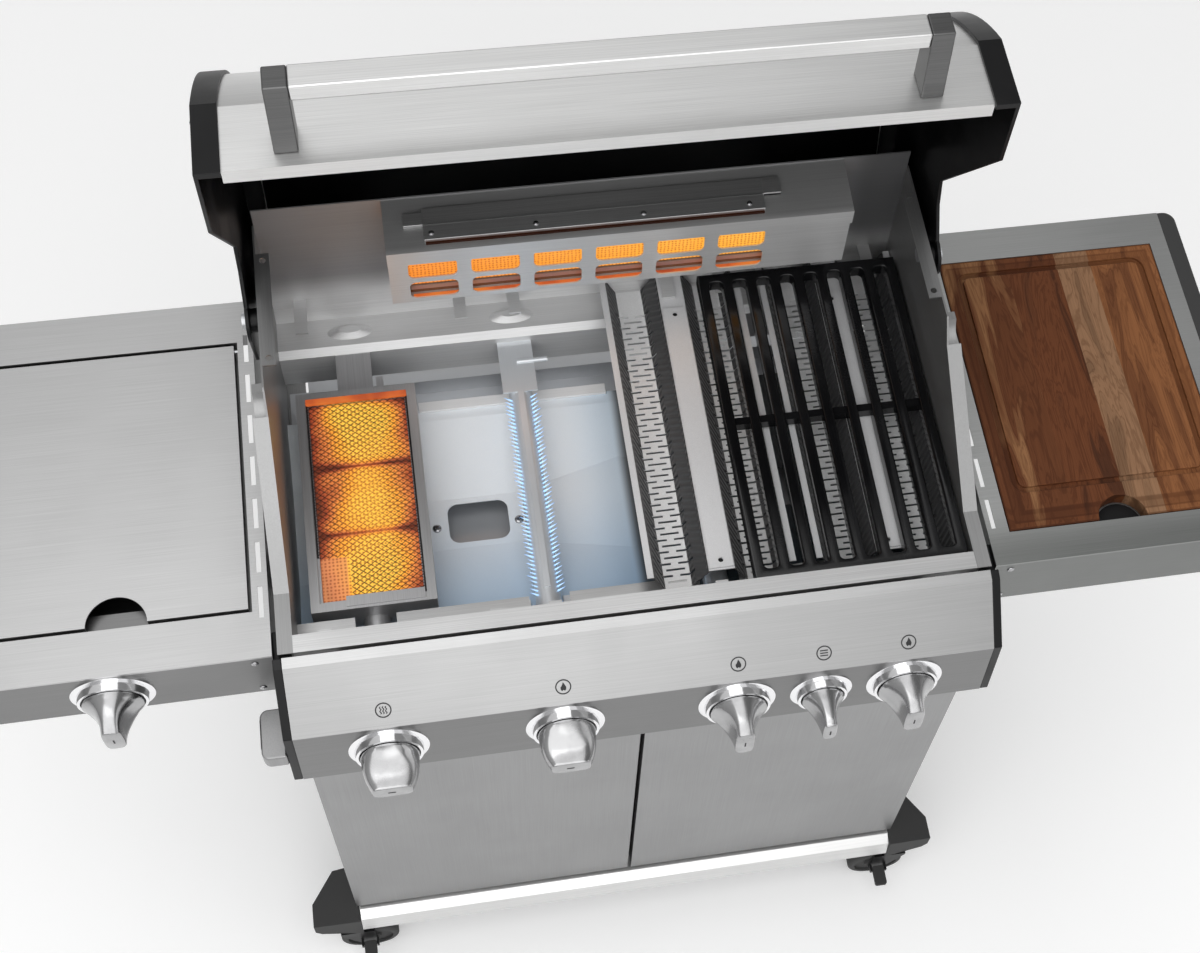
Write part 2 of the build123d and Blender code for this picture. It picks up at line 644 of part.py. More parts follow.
def firebox_side():
    """Right firebox wall with its rim flange, rack rail, foot flange and table hangers."""
    slope_end = (SLOPE_START + SLOPE_RUN, RIM_TOP + SLOPE_RISE)
    ear_front = (slope_end[0] + EAR_LEAN, RIM_TOP + EAR_RISE)
    outline = polygon(
        (0, CABINET_TOP), (BOX_DEPTH, CABINET_TOP), (BOX_DEPTH, RIM_TOP + EAR_RISE),
        ear_front, slope_end, (SLOPE_START, RIM_TOP), (0, RIM_TOP))
    wall = along_x(outline, (BOX_INSIDE, BOX_HALF))
    flange = sheet((0, RIM_TOP), (SLOPE_START, RIM_TOP), slope_end, side=Side.RIGHT, thickness=WALL)
    wall += along_x(flange, (BOX_HALF, BOX_HALF + RIM_FLANGE))
    rail_rear = BOX_DEPTH - RACK_RAIL_REAR_GAP
    rail_front = rail_rear - RACK_RAIL_LENGTH
    rail_top = RIM_TOP + EAR_RISE
    rail = block((BOX_INSIDE - RACK_RAIL, BOX_INSIDE), (rail_front, rail_rear), (rail_top - WALL, rail_top))
    for place in (rail_front + RACK_HOLE_INSET, rail_rear - RACK_HOLE_INSET):
        rail -= rod_z(RACK_HOLE, BOX_INSIDE - RACK_RAIL / 2, place, (rail_top - WALL, rail_top))
    wall += rail
    wall += block((BOX_INSIDE - BOX_FOOT, BOX_INSIDE), (SHEET, BACK_FACE), (CABINET_TOP, CABINET_TOP + WALL))
    wall += stop_bracket()
    hanger_top = RIM_TOP - HANGER_DROP
    for place in HANGER_PLACES:
        wall += block((BOX_HALF, TABLE_INNER), (place, place + HANGER[0]), (hanger_top - HANGER[1], hanger_top))
    return wall - rod_x(HINGE_PIN + HINGE_PLAY, (BOX_INSIDE, BOX_HALF), HINGE_Y, HINGE_Z)


def grate_tabs(y):
    """Small rests for the three cooking grates, between two Y values."""
    places = [sign * GRATE_TAB_SPREAD + middle for middle in (-GRATE_X, 0, GRATE_X) for sign in (-1, 1)]
    half = GRATE_TAB[0] / 2
    return [block((x - half, x + half), y, (GRATE_BOTTOM - WALL, GRATE_BOTTOM)) for x in places]


def firebox_front():
    """Front wall with its rim, inner ledge and the header above the doors."""
    section = sheet(
        (RIM_WIDTH + FRONT_LEDGE, SHELF_TOP), (RIM_WIDTH, SHELF_TOP), (RIM_WIDTH, RIM_TOP),
        (0, RIM_TOP), (0, CABINET_TOP))
    wall = along_x(section, (-BOX_INSIDE, BOX_INSIDE))
    wall += block((-CABINET_HALF, CABINET_HALF), (-HEADER_DEPTH, 0), (CABINET_TOP, CABINET_TOP + SHEET))
    for tab in grate_tabs((RIM_WIDTH, RIM_WIDTH + GRATE_TAB[1])):
        wall += tab
    for slot in BURNER_SLOTS:
        x = slot * BURNER_PITCH
        wall -= rod_y(TUBE_DIAMETER + LOOSE_GAP, x, (0, SHEET), BURNER_Z)
        wall -= block((x - LEDGE_NOTCH / 2, x + LEDGE_NOTCH / 2), (RIM_WIDTH, RIM_WIDTH + FRONT_LEDGE),
                      (SHELF_TOP - SHEET, SHELF_TOP))
    return wall


def firebox_rear():
    """Rear wall with its bevelled shelf, front skirt, grate rests and pressed eyes."""
    section = sheet(
        (SHELF_FRONT, SHELF_TOP - REAR_SKIRT), (SHELF_FRONT, SHELF_TOP - SHELF_NOSE[1]),
        (SHELF_FRONT + SHELF_NOSE[0], SHELF_TOP), (BACK_FACE - WALL_FOLD[0], SHELF_TOP),
        (BACK_FACE, SHELF_TOP + WALL_FOLD[1]), (BACK_FACE, RIM_TOP + BACK_RISE), side=Side.RIGHT)
    wall = along_x(section, (-BOX_INSIDE, BOX_INSIDE))
    for tab in grate_tabs((GRATE_REAR - GRATE_TAB[1], BACK_FACE)):
        wall += tab
    foot = Plane.XY.offset(SHELF_TOP) * Ellipse(*EYE_BASE)
    crown = Plane.XY.offset(SHELF_TOP + EYE_RISE) * Ellipse(*EYE_CROWN)
    eye = Pos(0, (SHELF_FRONT + BACK_FACE) / 2, 0) * loft([foot, crown], ruled=True)
    for slot in BURNER_SLOTS:
        wall += Pos(slot * BURNER_PITCH, 0, 0) * eye
        wall -= Pos(slot * BURNER_PITCH, 0, -SHEET) * eye
    return wall


def funnel_profile(first, low, high, last, top):
    """Section of the room over a funnel, from its first edge over its flat bottom to its last edge."""
    (edge, flat), (flat_end, edge_end) = first, last
    return polygon((edge, top), (edge, high), (flat, low), (flat_end, low), (edge_end, high), (edge_end, top))


def funnel_room(x, middle, drop):
    """Room over one funnel between two X values, let down by a distance."""
    low = CABINET_TOP + FUNNEL_LOW
    high = low + FUNNEL_RISE
    front = FUNNEL_INSET + FUNNEL_HEM
    rear = SHELF_FRONT - FUNNEL_INSET - FUNNEL_HEM
    half = FUNNEL_FLAT[0] / 2
    flat_rear = FUNNEL_FLAT_FRONT + FUNNEL_FLAT[1]
    fall = funnel_profile((front, FUNNEL_FLAT_FRONT), low - drop, high - drop, (flat_rear, rear), high + SHEET)
    side_high = low + FUNNEL_SIDE_RISE - drop
    sides = funnel_profile((x[0], middle - half), low - drop, side_high, (middle + half, x[1]), high + SHEET)
    return along_x(fall, x) & along_y(sides, (front, rear))


def drip_funnel():
    """Two shallow funnels side by side under the burners, each falling to a drain hole."""
    low = CABINET_TOP + FUNNEL_LOW
    high = low + FUNNEL_RISE
    rear = SHELF_FRONT - FUNNEL_INSET
    spans = {DRAIN_X: (-BOX_INSIDE, FUNNEL_SPLIT), FUNNEL_SPLIT * 2 - DRAIN_X: (FUNNEL_SPLIT, BOX_INSIDE)}
    rooms = [funnel_room(x, middle, SHEET) for middle, x in spans.items()]
    funnel = rooms[0] + rooms[1]
    for edge in (FUNNEL_INSET, rear - FUNNEL_HEM):
        funnel += block((-BOX_INSIDE, BOX_INSIDE), (edge, edge + FUNNEL_HEM), (high - SHEET, high))
    drain_y = FUNNEL_FLAT_FRONT + FUNNEL_FLAT[1] / 2
    for middle, x in spans.items():
        funnel -= funnel_room(x, middle, 0)
        funnel -= along_z(Pos(middle, drain_y) * RectangleRounded(*DRAIN, DRAIN_ROUND), (low - SHEET, low))
    return funnel


def grease_tray():
    """Wide tray that slides out to the back on the firebox's foot flanges."""
    half = BOX_INSIDE - BOX_FOOT - TRAY_SIDE_GAP
    lip_half = BOX_INSIDE - TRAY_SIDE_GAP
    lip_bottom = CABINET_TOP + WALL + MOVING_GAP
    top = lip_bottom + SHEET
    bottom = top - TRAY_HEIGHT
    rear = SHELF_FRONT - TRAY_LIP
    tray = block((-half, half), (TRAY_FRONT, rear), (bottom, top))
    tray += block((-lip_half, lip_half), (TRAY_FRONT, rear), (lip_bottom, top))
    tray += block((-half, half), (rear, rear + TRAY_GRIP), (lip_bottom, top))
    return tray - block((SHEET - half, half - SHEET), (TRAY_FRONT + SHEET, rear - SHEET), (bottom + SHEET, top))


def tube_burner(x):
    """Tube burner with an open venturi at the front and a bracket and igniter at the rear."""
    rear = SHELF_FRONT - TUBE_REAR_GAP
    top = BURNER_Z + TUBE_DIAMETER / 2
    tube = rod_y(TUBE_DIAMETER, x, (TUBE_FRONT, rear), BURNER_Z)
    tube -= rod_y(TUBE_BORE, x, (TUBE_FRONT, TUBE_FRONT + TUBE_BORE_DEPTH), BURNER_Z)
    half = BRACKET_WIDTH / 2
    tube += block((x - half, x + half), (rear - BRACKET_GRIP, SHELF_FRONT), (top - WALL, top))
    crest = TUBE_CREST[0] / 2
    tube += block((x - crest, x + crest), (TUBE_CREST_FRONT, rear - BRACKET_GRIP), (BURNER_Z, top + TUBE_CREST[1]))
    igniter_x = x + half + IGNITER_DIAMETER / 2
    igniter_y = (rear + SHELF_FRONT) / 2
    tube += rod_x(IGNITER_DIAMETER, (x, igniter_x + IGNITER_LENGTH / 2), igniter_y, top)
    return tube


def sear_burner_body():
    """Open frame of the infrared burner, stepped for its screen and tiles."""
    body = block((SEAR_X - SEAR_HALF, SEAR_X + SEAR_HALF), (SEAR_FRONT, SEAR_REAR), (SEAR_BOTTOM, SEAR_TOP))
    steps = (
        (SEAR_RIM, MESH_BOTTOM),
        (SEAR_RIM + MESH_LEDGE, TILE_BOTTOM),
        (SEAR_RIM + MESH_LEDGE + TILE_LEDGE, SEAR_BOTTOM + WALL))
    for inset, floor in steps:
        body -= block((SEAR_X - SEAR_HALF + inset, SEAR_X + SEAR_HALF - inset),
                      (SEAR_FRONT + inset, SEAR_REAR - inset), (floor, SEAR_TOP))
    body += rod_y(TUBE_DIAMETER, SEAR_X, (TUBE_FRONT, SEAR_FRONT), BURNER_Z)
    body -= rod_y(TUBE_BORE, SEAR_X, (TUBE_FRONT, TUBE_FRONT + TUBE_BORE_DEPTH), BURNER_Z)
    half = BRACKET_WIDTH / 2
    bracket_top = SHELF_TOP - SHELF_NOSE[1] - LOOSE_GAP
    body += block((SEAR_X - half, SEAR_X + half), (SEAR_REAR, SHELF_FRONT), (bracket_top - WALL, bracket_top))
    left = SEAR_X + SEAR_CLIP_PLACE[0]
    front = SEAR_FRONT + SEAR_CLIP_PLACE[1]
    body += block((left, left + SEAR_CLIP[0]), (front, front + SEAR_CLIP[1]), (SEAR_TOP, SEAR_TOP + SHEET))
    side = SEAR_X + SEAR_IGNITER_PLACE[0]
    top = SEAR_TOP - SEAR_IGNITER_PLACE[1]
    body += block((side, side + SEAR_IGNITER[0]), (SEAR_REAR, SEAR_REAR + SEAR_IGNITER[1]),
                  (top - SEAR_IGNITER[2], top))
    return body


def sear_tiles():
    """Row of ceramic tiles that fills the sear burner's inner step."""
    inset = SEAR_RIM + MESH_LEDGE
    half = SEAR_HALF - inset - MOVING_GAP
    front = SEAR_FRONT + inset
    pitch = (SEAR_REAR - inset - front) / TILE_COUNT
    rows = [(front + i * pitch + MOVING_GAP, front + (i + 1) * pitch - MOVING_GAP) for i in range(TILE_COUNT)]
    top = TILE_BOTTOM + TILE_THICKNESS
    return [block((SEAR_X - half, SEAR_X + half), row, (TILE_BOTTOM, top)) for row in rows]


def sear_mesh():
    """Expanded-metal screen with staggered diamond openings."""
    half = SEAR_HALF - SEAR_RIM - MOVING_GAP
    front = SEAR_FRONT + SEAR_RIM + MOVING_GAP
    rear = SEAR_REAR - SEAR_RIM - MOVING_GAP
    step_x = 2 * (half - MESH_LEDGE) / MESH_COLUMNS
    step_y = (rear - front - 2 * MESH_LEDGE) / MESH_ROWS
    wide = step_x / 2 - MESH_WIRE
    tall = step_y / 2 - MESH_WIRE * step_y / step_x
    diamond = polygon((-wide, 0), (0, -tall), (wide, 0), (0, tall))
    places = list(GridLocations(step_x, step_y, MESH_COLUMNS, MESH_ROWS))
    places += list(GridLocations(step_x, step_y, MESH_COLUMNS - 1, MESH_ROWS - 1))
    screen = Rectangle(2 * half, rear - front) - [place * diamond for place in places]
    return along_z(Pos(SEAR_X, (front + rear) / 2) * screen, (MESH_BOTTOM, MESH_BOTTOM + MESH_THICKNESS))


def flame_tamer():
    """Folded flame tamer about its middle, with a slotted flat on each side of its ridge strip."""
    low, high = SHELF_TOP, SHELF_TOP + TAMER_RISE
    near, far = TAMER_FLAT
    half_line = [(RIDGE_HALF, high), (near, low), (far, low), (TAMER_HALF - TAMER_HEM, high), (TAMER_HALF, high)]
    line = [(-px, pz) for px, pz in reversed(half_line)] + half_line
    rear = BACK_FACE - TAMER_REAR_GAP
    tamer = along_y(sheet(*line), (TAMER_FRONT, rear))
    pitch = (rear - TAMER_PLAIN_END - TAMER_FRONT) / TAMER_SLOTS
    inward, outward = TAMER_EDGE_SLOT
    shift = (inward - outward) / 2
    middles = Rectangle(*TAMER_SLOT)
    edges = Rectangle(inward + outward, TAMER_SLOT[1])
    long_slots = []
    edge_slots = []
    for i in range(TAMER_SLOTS):
        y = TAMER_FRONT + (i + 0.5) * pitch
        for side in (-1, 1):
            long_slots.append(Pos(side * (near + far) / 2, y) * middles)
            edge_slots.append(Pos(side * (near + shift), y + pitch / 2) * edges)
            edge_slots.append(Pos(side * (far - shift), y + pitch / 2) * edges)
    tamer -= along_z(Sketch() + long_slots, (low, low + SHEET))
    tamer -= along_z(Sketch() + edge_slots, (low, low + TAMER_EDGE_RISE))
    bottom = high + SHEET
    strip_rear = BACK_FACE - RIDGE_REAR_GAP
    strip = block((-RIDGE_HALF, RIDGE_HALF), (RIDGE_FRONT, strip_rear), (bottom, bottom + RIDGE_THICKNESS))
    for place in (RIDGE_FRONT + RIDGE_HOLE_INSET, strip_rear - RIDGE_HOLE_INSET):
        strip -= rod_z(RIDGE_HOLE, 0, place, (bottom, bottom + RIDGE_THICKNESS))
    return group(tamer, strip)


def grate():
    """Cast-iron grate with long openings on both sides of a cross bar."""
    width = 2 * GRATE_HALF
    depth = GRATE_REAR - GRATE_FRONT
    gap = (width - (GRATE_GAPS + 1) * GRATE_BAR) / GRATE_GAPS
    length = (depth - 3 * GRATE_FRAME) / 2
    opening = Rot(0, 0, 90) * SlotOverall(length, gap)
    places = GridLocations(gap + GRATE_BAR, length + GRATE_FRAME, GRATE_GAPS, 2)
    plate = Rectangle(width, depth) - [place * opening for place in places]
    bottom = GRATE_BOTTOM + MOVING_GAP
    return along_z(Pos(GRATE_X, (GRATE_FRONT + GRATE_REAR) / 2) * plate, (bottom, bottom + GRATE_HEIGHT))


def rear_burner_housing():
    """Sheet housing with two rows of rounded windows and a hem under its roof."""
    x = (REAR_BURNER_LEFT, REAR_BURNER_RIGHT)
    hem_front = REAR_BURNER_FRONT - REAR_HEM_STEP
    hem_top = REAR_BURNER_TOP + REAR_HEM_HEIGHT
    section = sheet(
        (BACK_FACE, hem_top + REAR_ROOF_RISE), (hem_front, hem_top), (hem_front, REAR_BURNER_TOP),
        (REAR_BURNER_FRONT, REAR_BURNER_TOP), (REAR_BURNER_FRONT, REAR_BURNER_BOTTOM),
        (BACK_FACE, REAR_BURNER_BOTTOM))
    housing = along_x(section, x)
    housing -= block(x, (BACK_FACE, BOX_DEPTH), (REAR_BURNER_TOP, hem_top + 2 * REAR_ROOF_RISE))
    window = RectangleRounded(*WINDOW, WINDOW_ROUND)
    first_x = REAR_BURNER_LEFT + WINDOW_MARGIN + WINDOW[0] / 2
    first_z = REAR_BURNER_BOTTOM + WINDOW_SILL + WINDOW[1] / 2
    for row in range(2):
        for column in range(WINDOW_COLUMNS):
            place = Pos(first_x + column * WINDOW_PITCH, first_z + row * (WINDOW[1] + WINDOW_ROW_GAP))
            housing -= along_y(place * window, (REAR_BURNER_FRONT, REAR_BURNER_FRONT + SHEET))
    end = polygon(
        (REAR_BURNER_FRONT + SHEET, REAR_BURNER_BOTTOM + SHEET), (BACK_FACE, REAR_BURNER_BOTTOM + SHEET),
        (BACK_FACE, REAR_BURNER_TOP), (REAR_BURNER_FRONT + SHEET, REAR_BURNER_TOP))
    housing += along_x(end, (x[0], x[0] + SHEET))
    housing += along_x(end, (x[1] - SHEET, x[1]))
    return housing


def rear_tiles():
    """Ceramic tiles behind the rear burner's windows, standing on the housing's floor."""
    left = REAR_BURNER_LEFT + WINDOW_MARGIN
    pitch = WINDOW_COLUMNS * WINDOW_PITCH / REAR_TILES
    front = REAR_BURNER_FRONT + REAR_TILE_SET_BACK
    height = (REAR_BURNER_BOTTOM + SHEET, REAR_BURNER_TOP - MOVING_GAP)
    return [block((left + i * pitch, left + (i + 1) * pitch - LOOSE_GAP), (front, front + TILE_THICKNESS), height)
            for i in range(REAR_TILES)]


def knob_plane(slot):
    """Plane on the control panel at one knob, facing out along the knob's axis."""
    return Plane(origin=(slot * BURNER_PITCH, KNOB_Y, KNOB_Z), x_dir=(1, 0, 0), z_dir=KNOB_AXIS)


def side_knob_plane():
    """Plane on the left table's front at the side burner's knob."""
    return Plane(origin=(SIDE_KNOB_X, 0, SIDE_KNOB_Z), x_dir=(1, 0, 0), z_dir=(0, -1, 0))


def knob_size(slot):
    """Diameter of the knob in one place."""
    return KNOB_SMALL if slot == SMALL_KNOB_SLOT else KNOB_LARGE


def control_panel():
    """Folded front panel with a hole for each valve stem."""
    section = sheet(PANEL_BACK, PANEL_EDGE, PANEL_BEND, PANEL_CREASE, PANEL_FOOT, PANEL_HOOK)
    panel = along_x(section, (-PANEL_HALF, PANEL_HALF))
    for slot in KNOB_SLOTS:
        panel -= knob_plane(slot).location * Cylinder(STEM_HOLE / 2, 4 * SHEET)
    return panel


def panel_end():
    """Black plate that closes the right end of the panel and ties it to the firebox."""
    roof = RIM_TOP - PANEL_END_CLEARANCE
    plate = polygon(
        PANEL_EDGE, PANEL_BEND, PANEL_CREASE, PANEL_FOOT, PANEL_HOOK, (PANEL_BACK[0], TABLE_BOTTOM),
        (PANEL_END_REACH, TABLE_BOTTOM), (PANEL_END_REACH, roof), (PANEL_EDGE[0], roof))
    end = along_x(plate, (PANEL_HALF, TABLE_INNER))
    tongue = block((BOX_HALF, PANEL_HALF), (0, PANEL_END_REACH), (TABLE_BOTTOM, roof))
    return end + tongue


def bezel(diameter):
    """Turned ring round a knob, about the knob's axis."""
    inner = diameter / 2 + BEZEL_PLAY
    ring = inner + BEZEL_RING
    outer = ring + BEZEL_FLANGE
    section = polygon(
        (inner, 0), (outer, 0), (outer, BEZEL_FLANGE_HEIGHT / 2), (ring, BEZEL_FLANGE_HEIGHT),
        (ring - BEZEL_RING / 4, BEZEL_HEIGHT), (inner, BEZEL_HEIGHT))
    return revolve(Plane.XZ * section, axis=Axis.Z)


def half_oval(half, rise):
    """Upper half of an oval, drawn on its straight side."""
    return Ellipse(half, rise) & Pos(0, rise / 2) * Rectangle(2 * half, rise)


def knob(diameter, turn):
    """Knob with a tapered grip, about its own axis and turned by an angle."""
    base = Pos(0, 0, KNOB_LIFT + KNOB_BASE / 2) * Cylinder(diameter / 2, KNOB_BASE)
    base = fillet(base.edges().filter_by(GeomType.CIRCLE).sort_by(Axis.Z)[-1], KNOB_ROUND)
    half = diameter / 2 - KNOB_FIN_INSET
    side = Plane.YZ.offset(KNOB_FIN_WIDTH / 2 * diameter / KNOB_LARGE)
    wide = half_oval(half, KNOB_FIN_RISE)
    narrow = half_oval(half - KNOB_FIN_SLOPE, KNOB_FIN_RISE - KNOB_FIN_SLOPE)
    cheek = loft([Plane.YZ * wide, side * narrow], ruled=True)
    grip = cheek + mirror(cheek, about=Plane.YZ)
    body = base + Pos(0, 0, KNOB_LIFT + KNOB_BASE / 2) * grip
    bore = Cylinder(STEM_DIAMETER / 2 + RUNNING_FIT, STEM_IN_KNOB + MOVING_GAP)
    body -= Pos(0, 0, KNOB_LIFT + (STEM_IN_KNOB + MOVING_GAP) / 2) * bore
    return Rot(0, 0, turn) * body


def stem():
    """Valve stem that carries a knob, about the knob's axis."""
    length = STEM_INSIDE + KNOB_LIFT + STEM_IN_KNOB
    return Pos(0, 0, length / 2 - STEM_INSIDE) * Cylinder(STEM_DIAMETER / 2, length)


def valve(set_back):
    """Gas valve behind a panel, about the knob's axis and bored for its stem."""
    length = VALVE_SET_BACK + VALVE_LENGTH - set_back
    depth = VALVE_SET_BACK + VALVE_BORE - set_back
    body = Pos(0, 0, -set_back - length / 2) * Cylinder(VALVE_DIAMETER / 2, length)
    return body - Pos(0, 0, -set_back - depth / 2) * Cylinder(STEM_DIAMETER / 2 + RUNNING_FIT, depth)


def gas_manifold():
    """Square gas rail with its valves and jets, and the side burner's own valve."""
    half_length = 3 * BURNER_PITCH + VALVE_DIAMETER + MANIFOLD_LUG
    middle_y = -MANIFOLD_STANDOFF - MANIFOLD / 2
    rail_z = (BURNER_Z - MANIFOLD / 2, BURNER_Z + MANIFOLD / 2)
    rail = block((-half_length, half_length), (middle_y - MANIFOLD / 2, middle_y + MANIFOLD / 2), rail_z)
    for side in (-1, 1):
        end = side * half_length
        rail += block((end, end - side * MANIFOLD_LUG), (-MANIFOLD_STANDOFF, 0), rail_z)
    for slot in BURNER_SLOTS:
        x = slot * BURNER_PITCH
        rail += rod_y(ORIFICE_DIAMETER, x, (-MANIFOLD_STANDOFF, ORIFICE_LENGTH - MANIFOLD_STANDOFF), BURNER_Z)
    for slot in KNOB_SLOTS:
        place = knob_plane(slot).location
        rail += place * valve(VALVE_SET_BACK)
        rail -= place * Pos(0, 0, -VALVE_SET_BACK - VALVE_BORE / 2) * Cylinder(
            STEM_DIAMETER / 2 + RUNNING_FIT, VALVE_BORE)
    return group(rail, side_knob_plane().location * valve(SHEET))


def bottle_opener():
    """Cast opener with a hooked mouth on the left end of the panel."""
    reach, length, height = OPENER
    inner = -TABLE_INNER
    top = RIM_TOP - OPENER_DROP + height
    middle = (inner - reach / 2, OPENER_BACK - length / 2)
    plate = Pos(*middle) * Rectangle(reach, length)
    body = along_z(plate, (top - height, top))
    body = fillet(body.edges().filter_by(Axis.Z).sort_by(Axis.X)[:2], OPENER_ROUND)
    mouth = block((inner - reach, inner - reach + OPENER_MOUTH[0]),
                  (middle[1] - OPENER_MOUTH[1] / 2, middle[1] + OPENER_MOUTH[1] / 2),
                  (top - height, top - WALL))
    return body - mouth


def table_shell():
    """Right-hand table sheet, open below, with a row of vents along its inner edge."""
    x = (TABLE_INNER, TABLE_OUTER)
    table = block(x, (0, TABLE_DEPTH), (TABLE_BOTTOM, TABLE_TOP))
    table -= block((x[0] + SHEET, x[1] - SHEET), (SHEET, TABLE_DEPTH - SHEET), (TABLE_BOTTOM, TABLE_TOP - SHEET))
    vent_x = TABLE_INNER + TABLE_VENT_INSET
    for place in GridLocations(1, TABLE_VENT_PITCH, 1, TABLE_VENTS):
        slot = Pos(vent_x, TABLE_DEPTH / 2) * place * Rectangle(*TABLE_VENT)
        table -= along_z(slot, (TABLE_TOP - SHEET, TABLE_TOP))
    return table


def pan(shell, x, y, floor):
    """Shell with a flat-bottomed recess pressed into its top."""
    shell += block((x[0] - SHEET, x[1] + SHEET), (y[0] - SHEET, y[1] + SHEET), (floor - SHEET, TABLE_TOP))
    return shell - block(x, y, (floor, TABLE_TOP))


def right_table():
    """Right table with the recess for the cutting board."""
    x = (BOARD_LEFT - LOOSE_GAP, BOARD_RIGHT + LOOSE_GAP)
    y = (BOARD_FRONT - LOOSE_GAP, BOARD_BACK + LOOSE_GAP)
    return pan(table_shell(), x, y, BOARD_BOTTOM - MOVING_GAP)


def left_table():
    """Left table with the lid's rebate, the burner well and a hole for the side valve."""
    x = (LID_LEFT - LID_GAP, LID_RIGHT + LID_GAP)
    y = (LID_FRONT - LID_GAP, LID_BACK + LID_GAP)
    well_x = (x[0] + WELL_INSET, x[1] - WELL_INSET)
    well_y = (y[0] + WELL_INSET, y[1] - WELL_INSET)
    table = mirrored(table_shell())
    table += block((well_x[0] - SHEET, well_x[1] + SHEET), (well_y[0] - SHEET, well_y[1] + SHEET),
                   (WELL_FLOOR - SHEET, REBATE_FLOOR))
    table = pan(table, x, y, REBATE_FLOOR)
    table -= block(well_x, well_y, (WELL_FLOOR, REBATE_FLOOR))
    return table - side_knob_plane().location * Cylinder(STEM_HOLE / 2, 4 * SHEET)


def end_cap():
    """Black moulded end of the right table, hollow towards the table."""
    x = (TABLE_OUTER, TABLE_OUTER + END_CAP)
    cap = block(x, (0, TABLE_DEPTH), (TABLE_BOTTOM, TABLE_TOP))
    cap = fillet(cap.edges().filter_by(Axis.Z).sort_by(Axis.X)[-2:], END_CAP_ROUND)
    return cap - block((x[0], x[1] - END_CAP_WALL), (END_CAP_ROUND, TABLE_DEPTH - END_CAP_ROUND),
                       (TABLE_BOTTOM + END_CAP_WALL, TABLE_TOP - END_CAP_WALL))


def side_burner_lid():
    """Flush lid with a finger notch, folded down all round and bored for its pins."""
    bottom = TABLE_TOP - LID[2]
    lid = block((LID_LEFT, LID_RIGHT), (LID_FRONT, LID_BACK), (bottom, TABLE_TOP))
    lid -= block((LID_LEFT + SHEET, LID_RIGHT - SHEET), (LID_FRONT + SHEET, LID_BACK - SHEET),
                 (bottom, TABLE_TOP - SHEET))
    lid -= rod_z(2 * LID_NOTCH, LID_MIDDLE, LID_FRONT, (bottom, TABLE_TOP))
    return lid - rod_x(LID_PIN + 2 * RUNNING_FIT, (LID_LEFT, LID_RIGHT), LID_AXIS_Y, LID_AXIS_Z)


def side_burner_ring():
    """Round burner head with a crown, standing on the well's floor."""
    middle_y = (LID_FRONT + LID_BACK) / 2
    crown_top = WELL_FLOOR + RING_HEIGHT + CROWN_HEIGHT
    head = rod_z(RING_DIAMETER, LID_MIDDLE, middle_y, (WELL_FLOOR, WELL_FLOOR + RING_HEIGHT))
    return head + rod_z(CROWN_DIAMETER, LID_MIDDLE, middle_y, (WELL_FLOOR + RING_HEIGHT, crown_top))


def side_burner_trivet():
    """Crossed bars that carry a pan over the side burner."""
    middle_y = (LID_FRONT + LID_BACK) / 2
    wide = LID[0] / 2 + LID_GAP - WELL_INSET + TRIVET_OVERHANG
    deep = LID[1] / 2 + LID_GAP - WELL_INSET + TRIVET_OVERHANG
    bars = [Pos(0, side * TRIVET_SPACING / 2) * Rectangle(2 * wide, TRIVET_BAR[0]) for side in (-1, 1)]
    bars += [Pos(side * TRIVET_SPACING / 2, 0) * Rectangle(TRIVET_BAR[0], 2 * deep) for side in (-1, 1)]
    return along_z(Pos(LID_MIDDLE, middle_y) * (Sketch() + bars), (REBATE_FLOOR, REBATE_FLOOR + TRIVET_BAR[1]))


def cutting_board():
    """Wooden board with a juice groove and a half-round finger notch."""
    middle = ((BOARD_LEFT + BOARD_RIGHT) / 2, (BOARD_FRONT + BOARD_BACK) / 2)
    board = block((BOARD_LEFT, BOARD_RIGHT), (BOARD_FRONT, BOARD_BACK), (BOARD_BOTTOM, BOARD_TOP))
    board -= rod_z(2 * BOARD_NOTCH, middle[0], BOARD_FRONT, (BOARD_BOTTOM, BOARD_TOP))
    inset = 2 * BOARD_GROOVE_INSET
    front_inset = BOARD_GROOVE_INSET + BOARD_NOTCH
    size = (BOARD[0] - inset, BOARD[1] - BOARD_GROOVE_INSET - front_inset)
    outer = RectangleRounded(*size, BOARD_GROOVE_INSET)
    width = 2 * BOARD_GROOVE[0]
    inner = RectangleRounded(size[0] - width, size[1] - width, BOARD_GROOVE_INSET - BOARD_GROOVE[0])
    centre_y = middle[1] + (front_inset - BOARD_GROOVE_INSET) / 2
    groove = along_z(Pos(middle[0], centre_y) * (outer - inner), (BOARD_TOP - BOARD_GROOVE[1], BOARD_TOP))
    return board - groove


def arc_centre(start, end, radius):
    """Centre of the arc that bulges up from start to end."""
    half = ((end[0] - start[0]) / 2, (end[1] - start[1]) / 2)
    chord_half = sqrt(half[0] ** 2 + half[1] ** 2)
    depth = sqrt(radius ** 2 - chord_half ** 2)
    return (start[0] + half[0] + half[1] / chord_half * depth, start[1] + half[1] - half[0] / chord_half * depth)


def pushed_out(point, centre, distance):
    """Point moved away from a centre by a distance."""
    reach = (point[0] - centre[0], point[1] - centre[1])
    length = sqrt(reach[0] ** 2 + reach[1] ** 2)
    return (point[0] + reach[0] / length * distance, point[1] + reach[1] / length * distance)


def opened(shape):
    """Hood piece swung from its closed place to the open one."""
    return shape.rotate(HINGE_AXIS, -OPEN_ANGLE)


